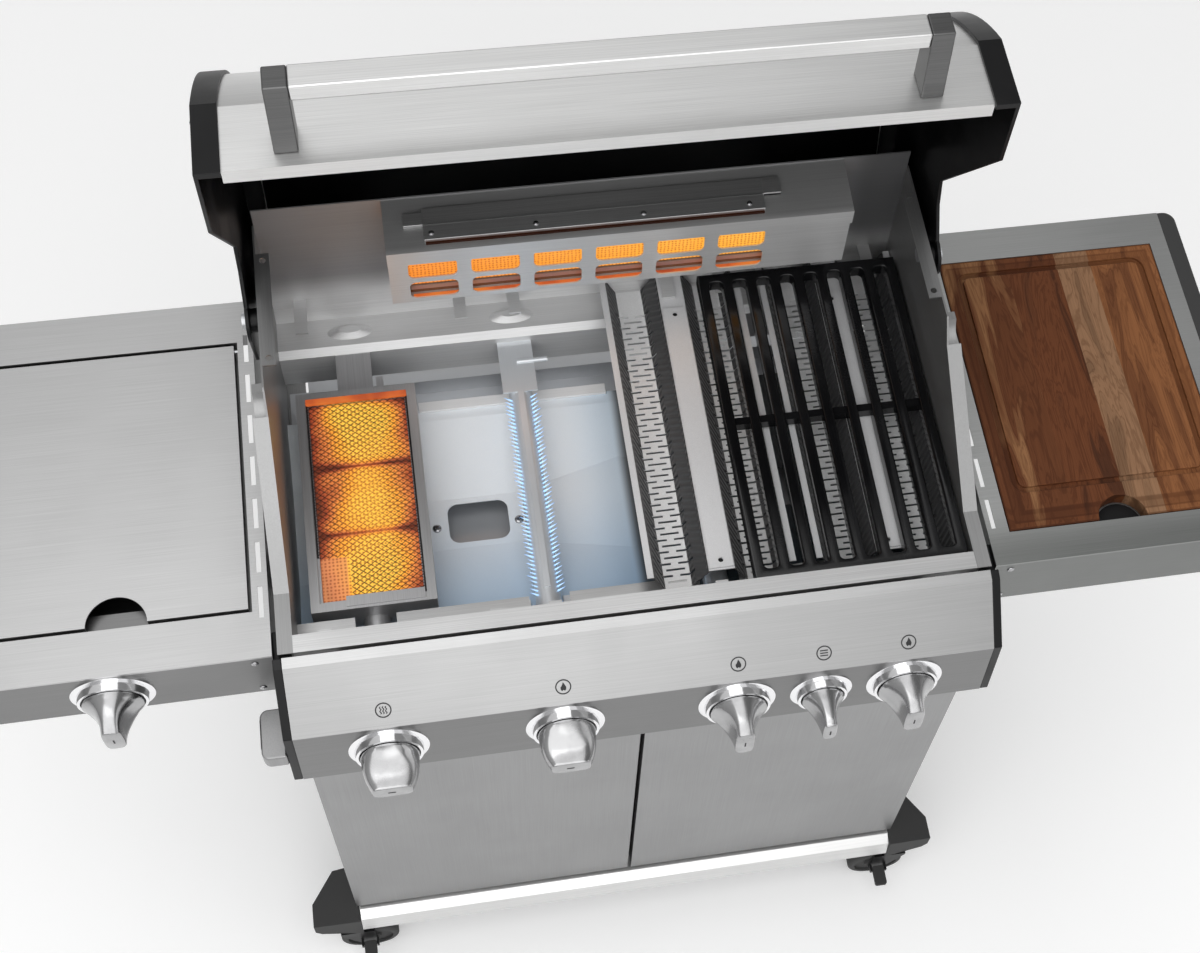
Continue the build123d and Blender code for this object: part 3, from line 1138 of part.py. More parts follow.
def hood_shell():
    """Curved hood sheet from the front hem over the crown to the rear skirt."""
    front = Polyline(HOOD_HEM_END, HOOD_LIP, HOOD_SHOULDER)
    crown = RadiusArc(HOOD_SHOULDER, HOOD_CROWN, HOOD_RADIUS)
    line = Wire((front + crown + Line(HOOD_CROWN, HOOD_SKIRT)).edges())
    section = make_face(offset(line, SHEET, side=Side.RIGHT, kind=Kind.INTERSECTION))
    return opened(along_x(section, (-HOOD_HALF, HOOD_HALF)))


def cap_outline():
    """Side view of the closed hood's end cap, with its notch and the ear round the hinge."""
    centre = arc_centre(HOOD_SHOULDER, HOOD_CROWN, HOOD_RADIUS)
    shoulder = pushed_out(HOOD_SHOULDER, centre, CAP_PROUD)
    crown = pushed_out(HOOD_CROWN, centre, CAP_PROUD)
    skirt = (HOOD_SKIRT[0] + CAP_PROUD, HOOD_SKIRT[1])
    lip = (shoulder[0], HOOD_LIP[1] - CAP_PROUD)
    slope_start = (SLOPE_START + CAP_PROUD, lip[1])
    notch = (HINGE_Y + CAP_NOTCH[0], HINGE_Z + CAP_NOTCH[1])
    dip = (HINGE_Y + CAP_DIP[0], HINGE_Z + CAP_DIP[1])
    tail = (HINGE_Y + CAP_TAIL[0], HINGE_Z + CAP_TAIL[1])
    ear = [(HINGE_Y + CAP_EAR * cos(radians(a)), HINGE_Z + CAP_EAR * sin(radians(a))) for a in (180, 240, 300)]
    top = Polyline(lip, shoulder) + RadiusArc(shoulder, crown, HOOD_RADIUS + CAP_PROUD)
    bottom = Polyline(crown, skirt, tail, ear[2]) + ThreePointArc(ear[2], ear[1], ear[0])
    front = Polyline(ear[0], dip, notch, slope_start, lip)
    return make_face(top + bottom + front)


def cap_hollow():
    """Side view of the space inside the end cap's rim."""
    centre = arc_centre(HOOD_SHOULDER, HOOD_CROWN, HOOD_RADIUS)
    depth = CAP_RIM - CAP_PROUD
    shoulder = pushed_out(HOOD_SHOULDER, centre, -depth)
    crown = pushed_out(HOOD_CROWN, centre, -depth)
    skirt = (HOOD_SKIRT[0] - depth, HOOD_SKIRT[1])
    low = RIM_TOP - CAP_RIM
    top = RadiusArc(shoulder, crown, HOOD_RADIUS - depth)
    behind = HOOD_SKIRT[0] + CAP_RIM
    rest = Polyline(crown, skirt, (behind, skirt[1]), (behind, low), (shoulder[0], low), shoulder)
    return make_face(top + rest)


def hood_end_cap():
    """Right end cap of the hood, a plate with a rim and a boss on the hinge bolt."""
    inner, outer = HOOD_HALF, CAP_OUTER
    plate = outer - CAP_PLATE
    cap = along_x(cap_outline(), (inner, outer)) - along_x(cap_hollow(), (inner, plate))
    cap += rod_x(HINGE_BOSS, (BOX_HALF + LOOSE_GAP, plate), HINGE_Y, HINGE_Z)
    cap -= rod_x(HINGE_PIN + 2 * RUNNING_FIT, (inner, outer), HINGE_Y, HINGE_Z)
    return opened(cap)


def handle_post():
    """Right post of the hood's handle, tapering from the hood to the bar."""
    face = HOOD_LIP[0]
    low = HOOD_LIP[1] + HANDLE_RISE
    bar_low = low + HANDLE_LEAN
    side = polygon(
        (face, low), (face, low + HANDLE_FOOT),
        (face - HANDLE_REACH, bar_low + HANDLE_BAR[1]), (face - HANDLE_REACH, bar_low))
    return opened(along_x(side, (HANDLE_HALF - HANDLE_POST, HANDLE_HALF)))


def handle_bar():
    """Flat bar between the two handle posts."""
    outer = HOOD_LIP[0] - HANDLE_REACH
    low = HOOD_LIP[1] + HANDLE_RISE + HANDLE_LEAN
    half = HANDLE_HALF - HANDLE_POST
    return opened(block((-half, half), (outer, outer + HANDLE_BAR[0]), (low, low + HANDLE_BAR[1])))


def caster_nodes():
    """Forks, wheels and brake pedals at the four corners."""
    pieces = {}
    for end, y in (("front", CASTER_FRONT_Y), ("rear", CASTER_REAR_Y)):
        place = Pos(CASTER_X, y, 0)
        right = {
            "caster_fork": place * caster_fork(end == "front"),
            "caster_wheel": place * caster_wheel()}
        if end == "front":
            right["brake_pedal"] = place * brake_pedal()
        for name, shape in right.items():
            pieces[f"{name}_{end}_right"] = shape
            pieces[f"{name}_{end}_left"] = mirrored(shape)
    return pieces


def knob_nodes():
    """Knobs and stems from left to right, then those of the side burner."""
    pieces = {}
    for number, slot in enumerate(KNOB_SLOTS, start=1):
        place = knob_plane(slot).location
        turn = KNOB_TURN if slot in TURNED_SLOTS else 0
        pieces[f"knob_{number}"] = place * knob(knob_size(slot), turn)
        pieces[f"valve_stem_{number}"] = place * stem()
    side = side_knob_plane().location
    pieces["knob_side_burner"] = side * knob(KNOB_LARGE, 0)
    pieces["valve_stem_side_burner"] = side * stem()
    return pieces


def bezels():
    """One bezel round each knob."""
    rings = [knob_plane(slot).location * bezel(knob_size(slot)) for slot in KNOB_SLOTS]
    return group(*rings, side_knob_plane().location * bezel(KNOB_LARGE))


def all_nodes():
    """Every piece of the grill under its node name."""
    foot = corner_foot()
    front_feet = [foot, mirrored(foot)]
    tubes = [tube_burner(slot * BURNER_PITCH) for slot in BURNER_SLOTS if slot != SEAR_SLOT]
    tamer = flame_tamer()
    right_side = cabinet_side()
    right_wall = firebox_side()
    right_door = door()
    nodes = {
        "cabinet_floor": cabinet_floor(),
        "cabinet_right_panel": right_side,
        "cabinet_left_panel": mirrored(right_side),
        "cabinet_back": cabinet_back(),
        "front_rail": front_rail(),
        "corner_feet": group(*front_feet, *[at_rear(piece) for piece in front_feet]),
        "door_right": right_door,
        "door_left": mirrored(right_door),
        "hinge_pins": hinge_pins(),
        "firebox_right_wall": right_wall,
        "firebox_left_wall": mirrored(right_wall),
        "firebox_front_wall": firebox_front(),
        "firebox_rear_wall": firebox_rear(),
        "drip_funnel": drip_funnel(),
        "grease_tray": grease_tray(),
        "sear_burner_body": sear_burner_body(),
        "sear_burner_screen": sear_mesh(),
        "ceramic_tiles": group(*sear_tiles(), *rear_tiles()),
        "tube_burners": group(*tubes),
        "flame_tamers": group(*[Pos(x, 0, 0) * tamer for x in TAMER_CENTRES]),
        "grate": grate(),
        "rear_burner_housing": rear_burner_housing(),
        "control_panel": control_panel(),
        "panel_ends": group(panel_end(), mirrored(panel_end())),
        "knob_bezels": bezels(),
        "gas_manifold": gas_manifold(),
        "bottle_opener": bottle_opener(),
        "right_table": right_table(),
        "left_table": left_table(),
        "table_end_caps": group(end_cap(), mirrored(end_cap())),
        "cutting_board": cutting_board(),
        "side_burner_lid": side_burner_lid(),
        "side_burner_ring": side_burner_ring(),
        "side_burner_trivet": side_burner_trivet(),
        "hood_shell": hood_shell(),
        "hood_end_caps": group(hood_end_cap(), mirrored(hood_end_cap())),
        "handle_posts": group(handle_post(), mirrored(handle_post())),
        "handle_bar": handle_bar()}
    nodes.update(caster_nodes())
    nodes.update(knob_nodes())
    return nodes


NODES = all_nodes()
WHOLE = Compound([solid for shape in NODES.values() for solid in shape.solids()]).bounding_box()
ORIGIN_SHIFT = Vector(-WHOLE.center().X, -WHOLE.center().Y, -WHOLE.min.Z)
for name, shape in NODES.items():
    export_step(Pos(ORIGIN_SHIFT) * shape, f"parts/{name}.step")
print(f"{len(NODES)} nodes, moved by {ORIGIN_SHIFT}, size {WHOLE.size}")
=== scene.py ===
"""Dresses the gas barbecue grill: finishes, fine trim, lit burners, floor, light and camera.

Every length is in metres, in the grill's own frame: X to the right, Y to the back, Z up.
"""

from __future__ import annotations

import fnmatch
import json
import logging
import math
from dataclasses import dataclass
from enum import Enum
from typing import Callable, Iterable, Sequence

import bmesh
import bpy
from mathutils import Matrix, Vector

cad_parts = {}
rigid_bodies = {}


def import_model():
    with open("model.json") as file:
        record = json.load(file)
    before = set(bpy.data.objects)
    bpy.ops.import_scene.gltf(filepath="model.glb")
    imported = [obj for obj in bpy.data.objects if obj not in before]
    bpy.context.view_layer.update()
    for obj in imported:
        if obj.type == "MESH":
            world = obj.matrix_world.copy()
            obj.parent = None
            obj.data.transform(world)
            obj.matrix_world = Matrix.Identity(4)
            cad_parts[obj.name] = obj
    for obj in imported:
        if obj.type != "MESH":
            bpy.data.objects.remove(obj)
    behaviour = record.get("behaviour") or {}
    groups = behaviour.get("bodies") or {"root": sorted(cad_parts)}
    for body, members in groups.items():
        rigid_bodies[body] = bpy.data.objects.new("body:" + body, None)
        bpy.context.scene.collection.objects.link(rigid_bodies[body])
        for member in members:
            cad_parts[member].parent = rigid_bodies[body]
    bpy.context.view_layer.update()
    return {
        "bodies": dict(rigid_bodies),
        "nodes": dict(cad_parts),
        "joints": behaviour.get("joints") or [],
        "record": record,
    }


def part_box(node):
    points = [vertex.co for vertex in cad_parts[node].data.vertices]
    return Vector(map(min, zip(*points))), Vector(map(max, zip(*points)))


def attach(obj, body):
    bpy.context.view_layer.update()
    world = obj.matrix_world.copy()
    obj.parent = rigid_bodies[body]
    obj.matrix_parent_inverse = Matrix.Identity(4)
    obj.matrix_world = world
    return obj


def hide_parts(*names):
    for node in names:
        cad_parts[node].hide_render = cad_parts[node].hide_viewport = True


LOG = logging.getLogger("grill")
MM = 0.001
RIGHT = Vector((1, 0, 0))
UP = Vector((0, 0, 1))

Pair = tuple[float, float]
Point = tuple[float, float, float]
Colour = tuple[float, float, float]
Stops = tuple[tuple[float, Colour], ...]
Spot = tuple[Vector, Vector]
Cones = tuple[int, tuple[tuple[Pair, Pair], ...]]
Mesh = bpy.types.Mesh
Node = bpy.types.Node
Object = bpy.types.Object
Socket = bpy.types.NodeSocket
Tree = bpy.types.NodeTree


class Grain(Enum):
    """Direction in which a sheet was brushed, as noise scales along X, Y and Z."""

    ALONG_X = (9.0, 1500.0, 1500.0)
    ALONG_Y = (1500.0, 9.0, 1500.0)
    ALONG_Z = (1500.0, 1500.0, 9.0)
    SATIN = (900.0, 900.0, 900.0)


class Stud(Enum):
    """Small part that a scatter tree repeats."""

    SCREW = "screw"
    FLAME = "flame"


class Sign(Enum):
    """Mark inside a printed ring."""

    FLAME = "flame"
    WAVES = "waves"
    BARS = "bars"


def grey(level: float) -> Colour:
    """Neutral colour of one level."""
    return (level, level, level)


def toned(colour: Colour, factor: float, lift: float = 0.0) -> Colour:
    """Colour times a factor, plus a lift."""
    return tuple(factor * part + lift for part in colour)


def plain_key(name: str) -> str:
    """Socket name as a keyword: lower case, with _ for a space."""
    return name.lower().replace(" ", "_")


class NodeGraph:
    """Thin helper that adds and links nodes in one tree."""

    def __init__(self, tree: Tree) -> None:
        """Keeps the tree that is to be filled."""
        self.tree = tree

    def put(self, value: object, target: Socket) -> None:
        """Gives an input a value or a link.

        Args:
            value: socket to link, or a number, vector, text or colour.
            target: input socket.
        """
        if isinstance(value, Socket):
            self.tree.links.new(value, target)
        elif target.type == "RGBA":
            target.default_value = (*value, 1.0)
        else:
            target.default_value = value

    def add(self, kind: str, inputs: dict[int | str, object] | None = None, **settings: object) -> Node:
        """Adds a node.

        Args:
            kind: node type.
            inputs: values or links of its inputs, by number or name.
            settings: properties of the node.

        Returns:
            The new node.
        """
        node = self.tree.nodes.new(kind)
        for key, value in settings.items():
            setattr(node, key, value)
        for key, value in (inputs or {}).items():
            self.put(value, node.inputs[key])
        return node

    def math(self, operation: str, *terms: object) -> Socket:
        """Result of a Math node on sockets or numbers."""
        return self.add("ShaderNodeMath", dict(enumerate(terms)), operation=operation).outputs[0]


class ShaderGraph(NodeGraph):
    """Node helper with the steps that finishes share."""

    def ramp(self, value: Socket, stops: Stops, stepped: bool = False) -> Socket:
        """Adds a colour ramp.

        Args:
            value: socket that drives the ramp.
            stops: positions with their colours.
            stepped: whether each colour holds up to the next stop.

        Returns:
            The colour socket.
        """
        node = self.add("ShaderNodeValToRGB", {0: value})
        node.color_ramp.interpolation = "CONSTANT" if stepped else "LINEAR"
        elements = node.color_ramp.elements
        while len(elements) < len(stops):
            elements.new(0.5)
        for element, (place, colour) in zip(elements, stops):
            element.position = place
            element.color = (*colour, 1.0)
        return node.outputs[0]

    def mix(self, factor: object, first: object, second: object, blend: str = "MIX") -> Socket:
        """Mix of two colours by a factor; each is a value or a socket."""
        inputs = {0: factor, 6: first, 7: second}
        return self.add("ShaderNodeMix", inputs, data_type="RGBA", blend_type=blend).outputs[2]

    def times(self, colour: object, tint: object) -> Socket:
        """Product of two colours."""
        return self.mix(1.0, colour, tint, "MULTIPLY")

    def share(self, value: Socket, start: float, length: float) -> Socket:
        """Place of a value along a length: 0 at its start and 1 at its end."""
        return self.math("DIVIDE", self.math("SUBTRACT", value, start), length)

    def spread(self, value: Socket, low: float, high: float) -> Socket:
        """Maps a value from 0..1 to low..high."""
        return self.add("ShaderNodeMapRange", {0: value, 3: low, 4: high}).outputs[0]

    def rise(self, value: Socket, start: float, end: float, height: float = 1.0) -> Socket:
        """Smooth step from 0 at the start to a height at the end."""
        inputs = {0: value, 1: start, 2: end, 4: height}
        return self.add("ShaderNodeMapRange", inputs, interpolation_type="SMOOTHSTEP").outputs[0]

    def noise(self, vector: Socket, scale: float, detail: float = 2.0, bend: float = 0.0) -> Socket:
        """Noise of a scale, with octaves of detail and a distortion."""
        inputs = {"Vector": vector, "Scale": scale, "Detail": detail, "Distortion": bend}
        return self.add("ShaderNodeTexNoise", inputs).outputs[0]

    def place(self, scale: Point = (1.0, 1.0, 1.0)) -> Socket:
        """Object coordinates, scaled along each axis."""
        source = self.add("ShaderNodeTexCoord").outputs["Object"]
        return self.add("ShaderNodeMapping", {"Vector": source, "Scale": scale}).outputs[0]

    def axes(self) -> tuple[Socket, Socket, Socket]:
        """Object coordinates as three separate values."""
        return tuple(self.add("ShaderNodeSeparateXYZ", {0: self.place()}).outputs)


class SharedEffects:
    """Shader node groups that several finishes use."""

    def __init__(self) -> None:
        """Builds each group once."""
        self.streaks = self._streaks()
        self.handling = self._handling()

    @staticmethod
    def _group(name: str, number: str, default: float, outputs: Sequence[str]) -> ShaderGraph:
        """Starts a shader group with a vector and a number as inputs.

        Args:
            name: name of the group.
            number: name of the number.
            default: default of the number.
            outputs: names of the value outputs.

        Returns:
            A graph on the new group.
        """
        tree = bpy.data.node_groups.new(name, "ShaderNodeTree")
        sockets = tree.interface
        sockets.new_socket(name="Vector", in_out="INPUT", socket_type="NodeSocketVector")
        made = sockets.new_socket(name=number, in_out="INPUT", socket_type="NodeSocketFloat")
        made.default_value = default
        for label in outputs:
            sockets.new_socket(name=label, in_out="OUTPUT", socket_type="NodeSocketFloat")
        return ShaderGraph(tree)

    def _streaks(self) -> Tree:
        """Makes fine and coarse brushing lines.

        Returns:
            The group.
        """
        graph = self._group("brushing", "Mix", 0.4, ("Tone", "Height"))
        given = graph.add("NodeGroupInput").outputs
        fine = graph.noise(given["Vector"], 1.0, 3.0)
        coarse = graph.noise(given["Vector"], 0.22)
        tone = graph.add("ShaderNodeMix", {0: given["Mix"], 2: fine, 3: coarse}).outputs[0]
        graph.add("NodeGroupOutput", {"Tone": tone, "Height": fine})
        return graph.tree

    def _handling(self) -> Tree:
        """Makes broad cloudy marks from handling and wiping.

        Returns:
            The group.
        """
        graph = self._group("handling", "Scale", 5.0, ("Mask",))
        given = graph.add("NodeGroupInput").outputs
        inputs = {0: given["Vector"], "Scale": given["Scale"]}
        scaled = graph.add("ShaderNodeVectorMath", inputs, operation="SCALE").outputs[0]
        graph.add("NodeGroupOutput", {"Mask": graph.rise(graph.noise(scaled, 1.0, 4.0), 0.35, 0.7)})
        return graph.tree


class MaterialGraph(ShaderGraph):
    """Graph of one material, with its principled shader and the shared effects."""

    def __init__(self, material: bpy.types.Material, effects: SharedEffects) -> None:
        """Starts on a new material.

        Args:
            material: material to fill.
            effects: the shared node groups.
        """
        material.use_nodes = True
        super().__init__(material.node_tree)
        self.effects = effects
        shader = material.node_tree.nodes["Principled BSDF"]
        self.inputs = {plain_key(socket.name): socket for socket in shader.inputs}

    def feed(self, **values: object) -> None:
        """Sets or links inputs of the shader, each named as a plain key."""
        for key, value in values.items():
            self.put(value, self.inputs[key])

    def brushing(self, grain: Grain, coarse: float = 0.18) -> tuple[Socket, Socket]:
        """Adds brushing lines.

        Args:
            grain: direction of the lines.
            coarse: share of the coarse lines.

        Returns:
            Their tone and their height.
        """
        inputs = {"Vector": self.place(grain.value), "Mix": coarse}
        lines = self.add("ShaderNodeGroup", inputs, node_tree=self.effects.streaks).outputs
        return lines["Tone"], lines["Height"]

    def handling(self, scale: float) -> Socket:
        """Mask of cloudy marks at a scale."""
        inputs = {"Vector": self.place(), "Scale": scale}
        return self.add("ShaderNodeGroup", inputs, node_tree=self.effects.handling).outputs["Mask"]

    def bump(self, height: Socket, depth: float, strength: float = 0.6) -> None:
        """Feeds a relief of some depth into the shader's normal."""
        inputs = {"Strength": strength, "Distance": depth, "Height": height}
        self.feed(normal=self.add("ShaderNodeBump", inputs).outputs[0])

    def glow(self, colour: Socket, strength: float, base: Colour, roughness: float = 0.5) -> None:
        """Makes the surface shine by itself, over a base colour."""
        self.feed(emission_color=colour, emission_strength=strength, base_color=base, roughness=roughness)


class Finish:
    """Base of every finish."""

    name: str

    def material(self, effects: SharedEffects) -> bpy.types.Material:
        """Makes the material.

        Args:
            effects: the shared node groups.

        Returns:
            The finished material.
        """
        made = bpy.data.materials.new(self.name)
        self.shade(MaterialGraph(made, effects))
        return made

    def shade(self, graph: MaterialGraph) -> None:
        """Fills the graph of the material."""
        raise NotImplementedError


@dataclass(frozen=True)
class Fade:
    """Tint that sets in along one axis; every fade in this script is painted shade, such as a darker lower
    face or the dark under the tamers.
    """

    axis: int
    start: float
    end: float
    tint: Colour


@dataclass(frozen=True)
class BrushedSteel(Finish):
    """Stainless sheet with brushing lines, faint handling marks and, where it has fades, painted shade."""

    name: str
    dark: Colour
    light: Colour
    grain: Grain = Grain.ALONG_X
    roughness: Pair = (0.24, 0.38)
    metallic: float = 1.0
    depth: float = 0.006 * MM
    fades: tuple[Fade, ...] = ()

    def shade(self, graph: MaterialGraph) -> None:
        """Fills the graph of the material.

        Args:
            graph: the graph.
        """
        tone, height = graph.brushing(self.grain)
        marks = graph.handling(6.0)
        rough = graph.math("ADD", graph.spread(tone, *self.roughness), graph.spread(marks, 0.0, 0.06))
        graph.feed(base_color=self.colour(graph, tone, marks), roughness=rough, metallic=self.metallic)
        self.relief(graph, height)

    def colour(self, graph: MaterialGraph, tone: Socket, marks: Socket) -> Socket:
        """Colour of the sheet.

        Args:
            graph: the graph.
            tone: tone of the brushing lines.
            marks: mask of the handling marks.

        Returns:
            The colour socket.
        """
        colour = graph.mix(graph.spread(tone, -0.3, 1.3), self.dark, self.light)
        colour = graph.mix(graph.spread(marks, 0.0, 0.12), colour, self.dark)
        # Each fade darkens the sheet towards one end of an axis: painted shade.
        for fade in self.fades:
            share = graph.rise(graph.axes()[fade.axis], fade.start, fade.end)
            colour = graph.mix(share, colour, graph.times(colour, fade.tint))
        return colour

    def relief(self, graph: MaterialGraph, lines: Socket) -> None:
        """Feeds the height of the lines into the shader."""
        graph.bump(lines, self.depth)


@dataclass(frozen=True)
class EmbossedSteel(BrushedSteel):
    """Satin sheet whose slopes carry a rolled chevron pattern and a painted dark reflection."""

    slope: Pair = (0.0, 1.0)
    # Painted dark reflection that darkens the slopes.
    slope_reflection: Colour = (0.07, 0.07, 0.072)
    chevron: Pair = (11 * MM, 8 * MM)
    chevron_depth: float = 1.1 * MM

    def _within(self, graph: MaterialGraph) -> Socket:
        """Mask of the slopes, by their height."""
        z = graph.axes()[2]
        return graph.math("MULTIPLY", graph.math("GREATER_THAN", z, self.slope[0]),
                          graph.math("LESS_THAN", z, self.slope[1]))

    def colour(self, graph: MaterialGraph, tone: Socket, marks: Socket) -> Socket:
        """Colour of the sheet, with a painted dark reflection on its slopes."""
        plain = super().colour(graph, tone, marks)
        return graph.mix(self._within(graph), plain, graph.times(plain, self.slope_reflection))

    def relief(self, graph: MaterialGraph, lines: Socket) -> None:
        """Feeds the chevrons into the shader.

        Args:
            graph: the graph.
            lines: height of the brushing lines, which the chevrons take the place of.
        """
        x, y, _ = graph.axes()
        phase = graph.math("ADD", y, graph.math("PINGPONG", x, self.chevron[0]))
        wave = graph.math("SINE", graph.math("MULTIPLY", phase, math.tau / self.chevron[1]))
        graph.bump(graph.math("MULTIPLY", wave, self._within(graph)), self.chevron_depth)


@dataclass(frozen=True)
class PolishedMetal(Finish):
    """Chromed or machined metal with soft wiping marks."""

    name: str
    colour: Colour
    roughness: Pair = (0.08, 0.2)

    def shade(self, graph: MaterialGraph) -> None:
        """Fills the graph of the material.

        Args:
            graph: the graph.
        """
        marks = graph.handling(45.0)
        graph.feed(base_color=graph.mix(marks, self.colour, toned(self.colour, 0.86)),
                   roughness=graph.spread(marks, *self.roughness), metallic=1.0)


@dataclass(frozen=True)
class GrainedBlack(Finish):
    """Black paint or enamel with a fine grain."""

    name: str
    colour: Colour
    roughness: Pair
    grain: float = 700.0
    depth: float = 0.06 * MM
    coat: float = 0.0
    specular: float = 0.5

    def shade(self, graph: MaterialGraph) -> None:
        """Fills the graph of the material.

        Args:
            graph: the graph.
        """
        marks = graph.handling(9.0)
        pebbles = graph.noise(graph.place(), self.grain)
        rough = graph.math("ADD", graph.spread(marks, *self.roughness), graph.spread(pebbles, -0.05, 0.05))
        graph.feed(base_color=graph.mix(marks, self.colour, toned(self.colour, 1.5, 0.002)),
                   roughness=rough, specular_ior_level=self.specular, coat_weight=self.coat,
                   coat_roughness=0.12)
        graph.bump(pebbles, self.depth)


@dataclass(frozen=True)
class PrintedInk(Finish):
    """Dark screen-printed ink, slightly uneven."""

    name: str
    colour: Colour

    def shade(self, graph: MaterialGraph) -> None:
        """Fills the graph of the material."""
        paler = toned(self.colour, 1.4)
        graph.feed(base_color=graph.mix(graph.handling(120.0), self.colour, paler), roughness=0.5)


@dataclass(frozen=True)
class PlankedWood(Finish):
    """Oiled hardwood board glued up from planks that run front to back, with lines of painted shade along
    its juice groove and its edge.
    """

    name: str
    low: Point
    high: Point
    seams: tuple[float, ...] = (0.30, 0.535, 0.69)
    bases: tuple[Colour, ...] = (
        (0.128, 0.043, 0.016), (0.140, 0.046, 0.017), (0.285, 0.156, 0.084), (0.250, 0.100, 0.038))
    streaks: tuple[Colour, ...] = (
        (0.270, 0.128, 0.056), (0.070, 0.024, 0.010), (0.190, 0.104, 0.056), (0.150, 0.055, 0.021))
    # Dark tone of the grain lines and pores, and of the painted shade along the groove and the edge.
    dark_grain_and_shade: Colour = (0.50, 0.44, 0.40)
    figure: Point = (30.0, 4.6, 30.0)
    figure_shift: float = 3.7
    figure_lines: float = 88.0
    pores: Point = (950.0, 24.0, 950.0)
    pore_depth: float = 0.12 * MM
    # Lines of painted shade: inset from the board's edge, half width and strength.
    groove_shades: tuple[Point, ...] = (
        (19.5 * MM, 4.2 * MM, 0.8), (14.5 * MM, 9.0 * MM, 0.5), (8.5 * MM, 1.6 * MM, 0.8),
        (0.4 * MM, 1.8 * MM, 1.0))

    def shade(self, graph: MaterialGraph) -> None:
        """Fills the graph of the material.

        Args:
            graph: the graph.
        """
        place = graph.axes()
        across = graph.share(place[0], self.low[0], self.high[0] - self.low[0])
        figure = self._figure(graph, across)
        starts = (0.0, *self.seams)
        base, streak = (graph.ramp(across, tuple(zip(starts, tones)), stepped=True)
                        for tones in (self.bases, self.streaks))
        colour = graph.mix(graph.rise(figure, 0.50, 0.64), base, streak)
        lines = graph.math("SINE", graph.math("MULTIPLY", figure, self.figure_lines))
        # deep: dark tone for the grain lines, the painted shade along the groove and the pores.
        deep = graph.times(colour, self.dark_grain_and_shade)
        colour = graph.mix(graph.spread(lines, -0.1, 0.6), colour, deep)
        # Lines of painted shade round the juice groove and at the edge.
        for shade_line in self.groove_shades:
            colour = graph.mix(self._groove_shade(graph, place, *shade_line), colour, deep)
        pores = graph.noise(graph.place(self.pores), 1.0)
        graph.feed(base_color=graph.mix(graph.spread(pores, -0.25, 0.65), colour, deep),
                   roughness=graph.spread(pores, 0.40, 0.60), specular_ior_level=0.15)
        graph.bump(pores, self.pore_depth)

    def _figure(self, graph: MaterialGraph, across: Socket) -> Socket:
        """Figure of the wood, shifted along each plank.

        Args:
            graph: the graph.
            across: place across the board, from 0 to 1.

        Returns:
            The noise socket.
        """
        plank = graph.math("GREATER_THAN", across, self.seams[0])
        for seam in self.seams[1:]:
            plank = graph.math("ADD", plank, graph.math("GREATER_THAN", across, seam))
        along = graph.math("MULTIPLY", plank, self.figure_shift)
        shift = graph.add("ShaderNodeCombineXYZ", {1: along}).outputs[0]
        inputs = {0: graph.place(self.figure), 1: shift}
        shifted = graph.add("ShaderNodeVectorMath", inputs, operation="ADD").outputs[0]
        return graph.noise(shifted, 1.0, 5.0, 1.3)

    def _groove_shade(self, graph: MaterialGraph, place: Sequence[Socket], inset: float, half: float,
                depth: float) -> Socket:
        """Mask of a line of painted shade that runs round the board at an inset from its edge.

        Args:
            graph: the graph.
            place: object coordinates.
            inset: distance of the line from the board's edge.
            half: half of the line's width.
            depth: how much of the dark tone the line takes.

        Returns:
            The mask socket.
        """
        sides = []
        for value, low, high in zip(place[:2], self.low, self.high):
            off = graph.math("ABSOLUTE", graph.math("SUBTRACT", value, (low + high) / 2))
            sides.append(graph.math("SUBTRACT", off, (high - low) / 2 - inset))
        off = graph.math("ABSOLUTE", graph.math("MAXIMUM", *sides))
        return graph.rise(off, half, half * 0.4, depth)


